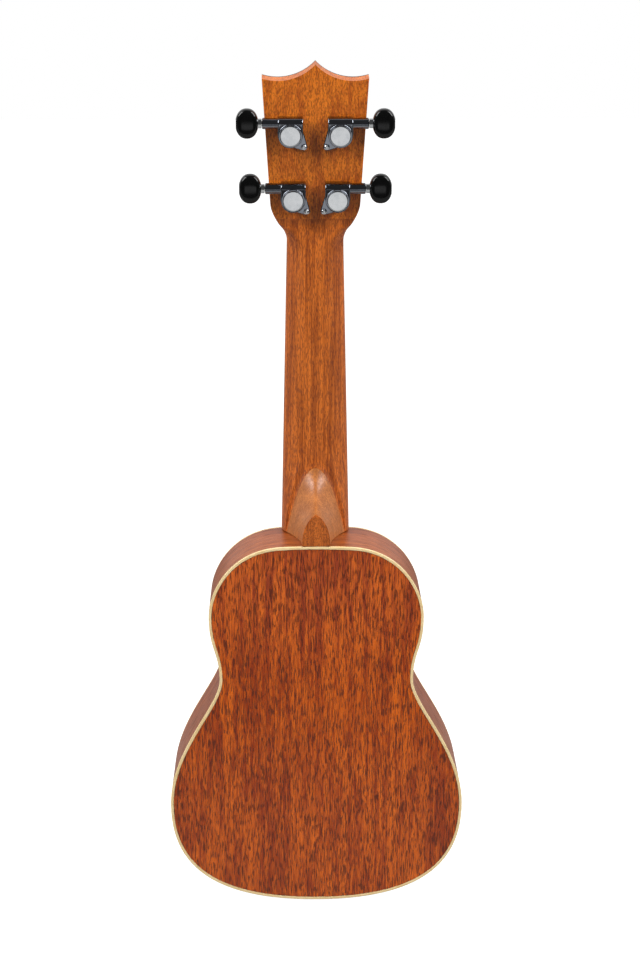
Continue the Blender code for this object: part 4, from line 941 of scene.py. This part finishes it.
def makeButton():
    s = tunerSizes
    start = (s["sleeveEnd"] + 0.3 + s["collarLength"] + 0.1) * mm
    rings = []
    for i in range(33):
        a = math.pi * (i / 32 - 0.5)
        x = start + s["buttonLong"] / 2 * mm * (1 + math.sin(a))
        full = (1 - (abs(math.sin(a)) * 0.95) ** 2.3) ** 0.5
        tall = s["buttonHigh"] / 2 * full * mm
        thick = s["buttonThick"] / 2 * (1 - (abs(math.sin(a)) * 0.97) ** 5) ** 0.4 * mm
        ring = []
        for b in range(48):
            c, d = math.cos(b / 24 * math.pi), math.sin(b / 24 * math.pi)
            ring.append((x, math.copysign(thick * abs(c) ** 0.42, c), math.copysign(tall * abs(d) ** 0.8, d)))
        rings.append(ring)
    made = skinned("button", rings)
    softenEdges(made, 0.5 * mm, 3, 50)
    socket = rod("socket", s["shaftRadius"] * mm, start - 2 * mm, start + s["buttonSocket"] * mm, 32, "X")
    cutWith(made, socket)
    remove(socket)
    settle(made, Matrix.Translation((0, s["wormHeight"] * mm, s["wormAt"] * mm)))
    return made


def makeTuners():
    s = tunerSizes
    case = caseParts()
    low = (s["cupHeight"] - 0.4) * mm
    high = (s["cupHeight"] + s["coverRise"]) * mm
    r = s["coverRadius"] * mm
    profile = [(0, low), (r, low), (r, high - 0.35 * mm), (r - 0.12 * mm, high - 0.1 * mm)]
    cover = turned("cover", profile + [(r - 0.4 * mm, high), (r - 0.6 * mm, high), (0, high)], 72)
    button = makeButton()
    head = s["screwHead"] * mm
    seat = s["flangeThick"] * mm + glueGap
    shank = s["screwRadius"] * mm
    screw = turned(
        "screw",
        [
            (0, seat - 8 * mm), (shank, seat - 7 * mm), (shank, seat), (head, seat), (head, seat + 0.45 * mm),
            (0.8 * head, seat + 0.9 * mm), (0.4 * head, seat + 1.1 * mm), (0, seat + 1.15 * mm),
        ],
        32,
    )
    for turn in (0, 1):
        wide, tall = (0.25, 1.1) if turn else (1.1, 0.25)
        slot = block("slot", (-wide * mm, seat + 0.5 * mm, -tall * mm), (wide * mm, seat + 3 * mm, tall * mm))
        cutWith(screw, slot)
        remove(slot)
    settle(screw, Matrix.Translation((-s["earAcross"] * mm, 0, -s["earDown"] * mm)))
    face = -(neckSizes["headThick"] + neckSizes["veneer"]) * mm - glueGap
    bore = s["postRadius"] * mm + 0.15 * mm
    outer = bore + 0.75 * mm
    brim = 4.9 * mm
    bushing = turned(
        "bushing",
        [
            (bore, face + 6 * mm), (outer, face + 6 * mm), (outer, face - glueGap), (brim, face - glueGap),
            (brim, face - 0.6 * mm), (brim - 0.4 * mm, face - 1.1 * mm), (bore, face - 1.1 * mm),
        ],
        64,
    )
    for key, side, place in tunerPlaces:
        for part, name, material, body, slotName, node in (
            (case, "tuner_case", shadedChrome, "body", "chrome", "tuner_housing"),
            (cover, "tuner_lid", chrome, "body", "chrome", "tuner_cover"),
            (button, "button", blackPlastic, f"key_{key}", "black_button", "tuner_button"),
            (screw, "mounting_screw", chrome, "body", "chrome", "tuner_screw"),
            (bushing, "bushing", chrome, "body", "chrome", "post_bushing"),
        ):
            made = copyOf(part, f"{name}_{key}")
            if side < 0:
                mirrorAcross(made)
            settle(made, place)
            finish(made, material, body, slotName, f"{node}_{key}", smooth=40)
    remove(case, cover, button, screw, bushing)
    print("tuners ready")


makeTuners()

# every CAD node that still shows gets its own finish
keptFinishes = {
    "worm_shaft": chrome, "string_post": chrome, "string": nylon, "top_brace": spruce, "back_brace": spruce,
    "top_lining": spruce, "back_lining": spruce, "neck_block": spruce, "tail_block": spruce,
    "bridge_plate": rosewood, "neck_dowel": spruce,
}
for name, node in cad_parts.items():
    for start, material in keptFinishes.items():
        if name.startswith(start):
            node.data.materials.clear()
            node.data.materials.append(material)
            break


# floor, lights, world and camera

studio = {
    "floorBelow": 0.02, "floorReach": 0.6, "floorBack": 6.0,
    "lampPower": 20, "lampSize": 1.0, "lampSide": 0.95, "lampFront": 0.55, "lampHigh": 0.8,
    "lowLamp": (0, 1.0, -0.355), "lowLampPower": 0.13, "lowLampSize": (0.4, 0.13),
    "backWorld": 0.58, "frontWorld": 0.07,
    "cameraAt": (0.01763, 1.46132, 0.19012), "cameraFacing": (-0.01378, -0.97202, -0.23405), "lens": 88.23,
}


def makeStudio():
    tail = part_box("back_binding")[0].z
    bpy.ops.mesh.primitive_plane_add(size=1)
    floor = bpy.context.object
    floor.name = "floor"
    for corner in floor.data.vertices:
        reach = studio["floorReach"] if corner.co.y > 0 else -studio["floorBack"]
        corner.co = (math.copysign(6, corner.co.x), reach, tail - studio["floorBelow"])
    paper, tree, shader = newMaterial("white paper sweep", Roughness=0.8)
    shader.inputs["Base Color"].default_value = linear("9E9E9C")
    shader.inputs["Emission Color"].default_value = linear("FFFFFF")
    # overexposed to plain white where it is looked at, with a softer bounce
    lookedAt = addNode(tree, "ShaderNodeLightPath").outputs["Is Camera Ray"]
    tree.links.new(lookedAt, shader.inputs["Emission Strength"])
    floor.data.materials.append(paper)

    side, front, high, size = (studio[key] for key in ("lampSide", "lampFront", "lampHigh", "lampSize"))
    aim, shape, power = (0, 0.03, -0.2), (size * 0.7, size), studio["lampPower"]
    lamps = [((x, front, high), aim, shape, power) for x in (-side, side)]
    # a low strip in front that the tuners' flat covers mirror
    lamps.append((studio["lowLamp"], (0, 0.02, 0.04), studio["lowLampSize"], studio["lowLampPower"]))
    for spot, target, (wide, tall), power in lamps:
        bpy.ops.object.light_add(type="AREA", location=spot)
        lamp = bpy.context.object
        lamp.data.shape = "RECTANGLE"
        lamp.data.size, lamp.data.size_y = wide, tall
        lamp.data.energy = power
        lamp.visible_camera = False
        lamp.rotation_mode = "QUATERNION"
        lamp.rotation_quaternion = (Vector(target) - Vector(spot)).to_track_quat("-Z", "Y")

    world = bpy.data.worlds.new("studio")
    bpy.context.scene.world = world
    world.use_nodes = True
    tree = world.node_tree
    tree.nodes.clear()
    way = addNode(tree, "ShaderNodeTexCoord").outputs["Generated"]
    parts = addNode(tree, "ShaderNodeSeparateXYZ", {"Vector": way})
    fade = span(parts.outputs["Y"], -0.1, 0.3, studio["backWorld"], studio["frontWorld"])
    strength = addNode(tree, "ShaderNodeMapRange", fade, **eased).outputs["Result"]
    seen = addNode(tree, "ShaderNodeLightPath").outputs["Is Camera Ray"]
    lit = addNode(tree, "ShaderNodeBackground", {"Color": (1, 1, 1, 1), "Strength": strength})
    plain = addNode(tree, "ShaderNodeBackground", {"Color": (1, 1, 1, 1), "Strength": 1.0})
    both = addNode(tree, "ShaderNodeMixShader", {0: seen, 1: lit.outputs[0], 2: plain.outputs[0]})
    addNode(tree, "ShaderNodeOutputWorld", {"Surface": both.outputs[0]})

    bpy.ops.object.camera_add(location=studio["cameraAt"])
    camera = bpy.context.object
    camera.rotation_mode = "QUATERNION"
    camera.rotation_quaternion = Vector(studio["cameraFacing"]).to_track_quat("-Z", "Y")
    camera.data.lens = studio["lens"]
    camera.data.sensor_width = 36
    camera.data.clip_end = 100
    bpy.context.scene.camera = camera
    bpy.context.scene.view_settings.view_transform = "Standard"


makeStudio()
print("studio ready")
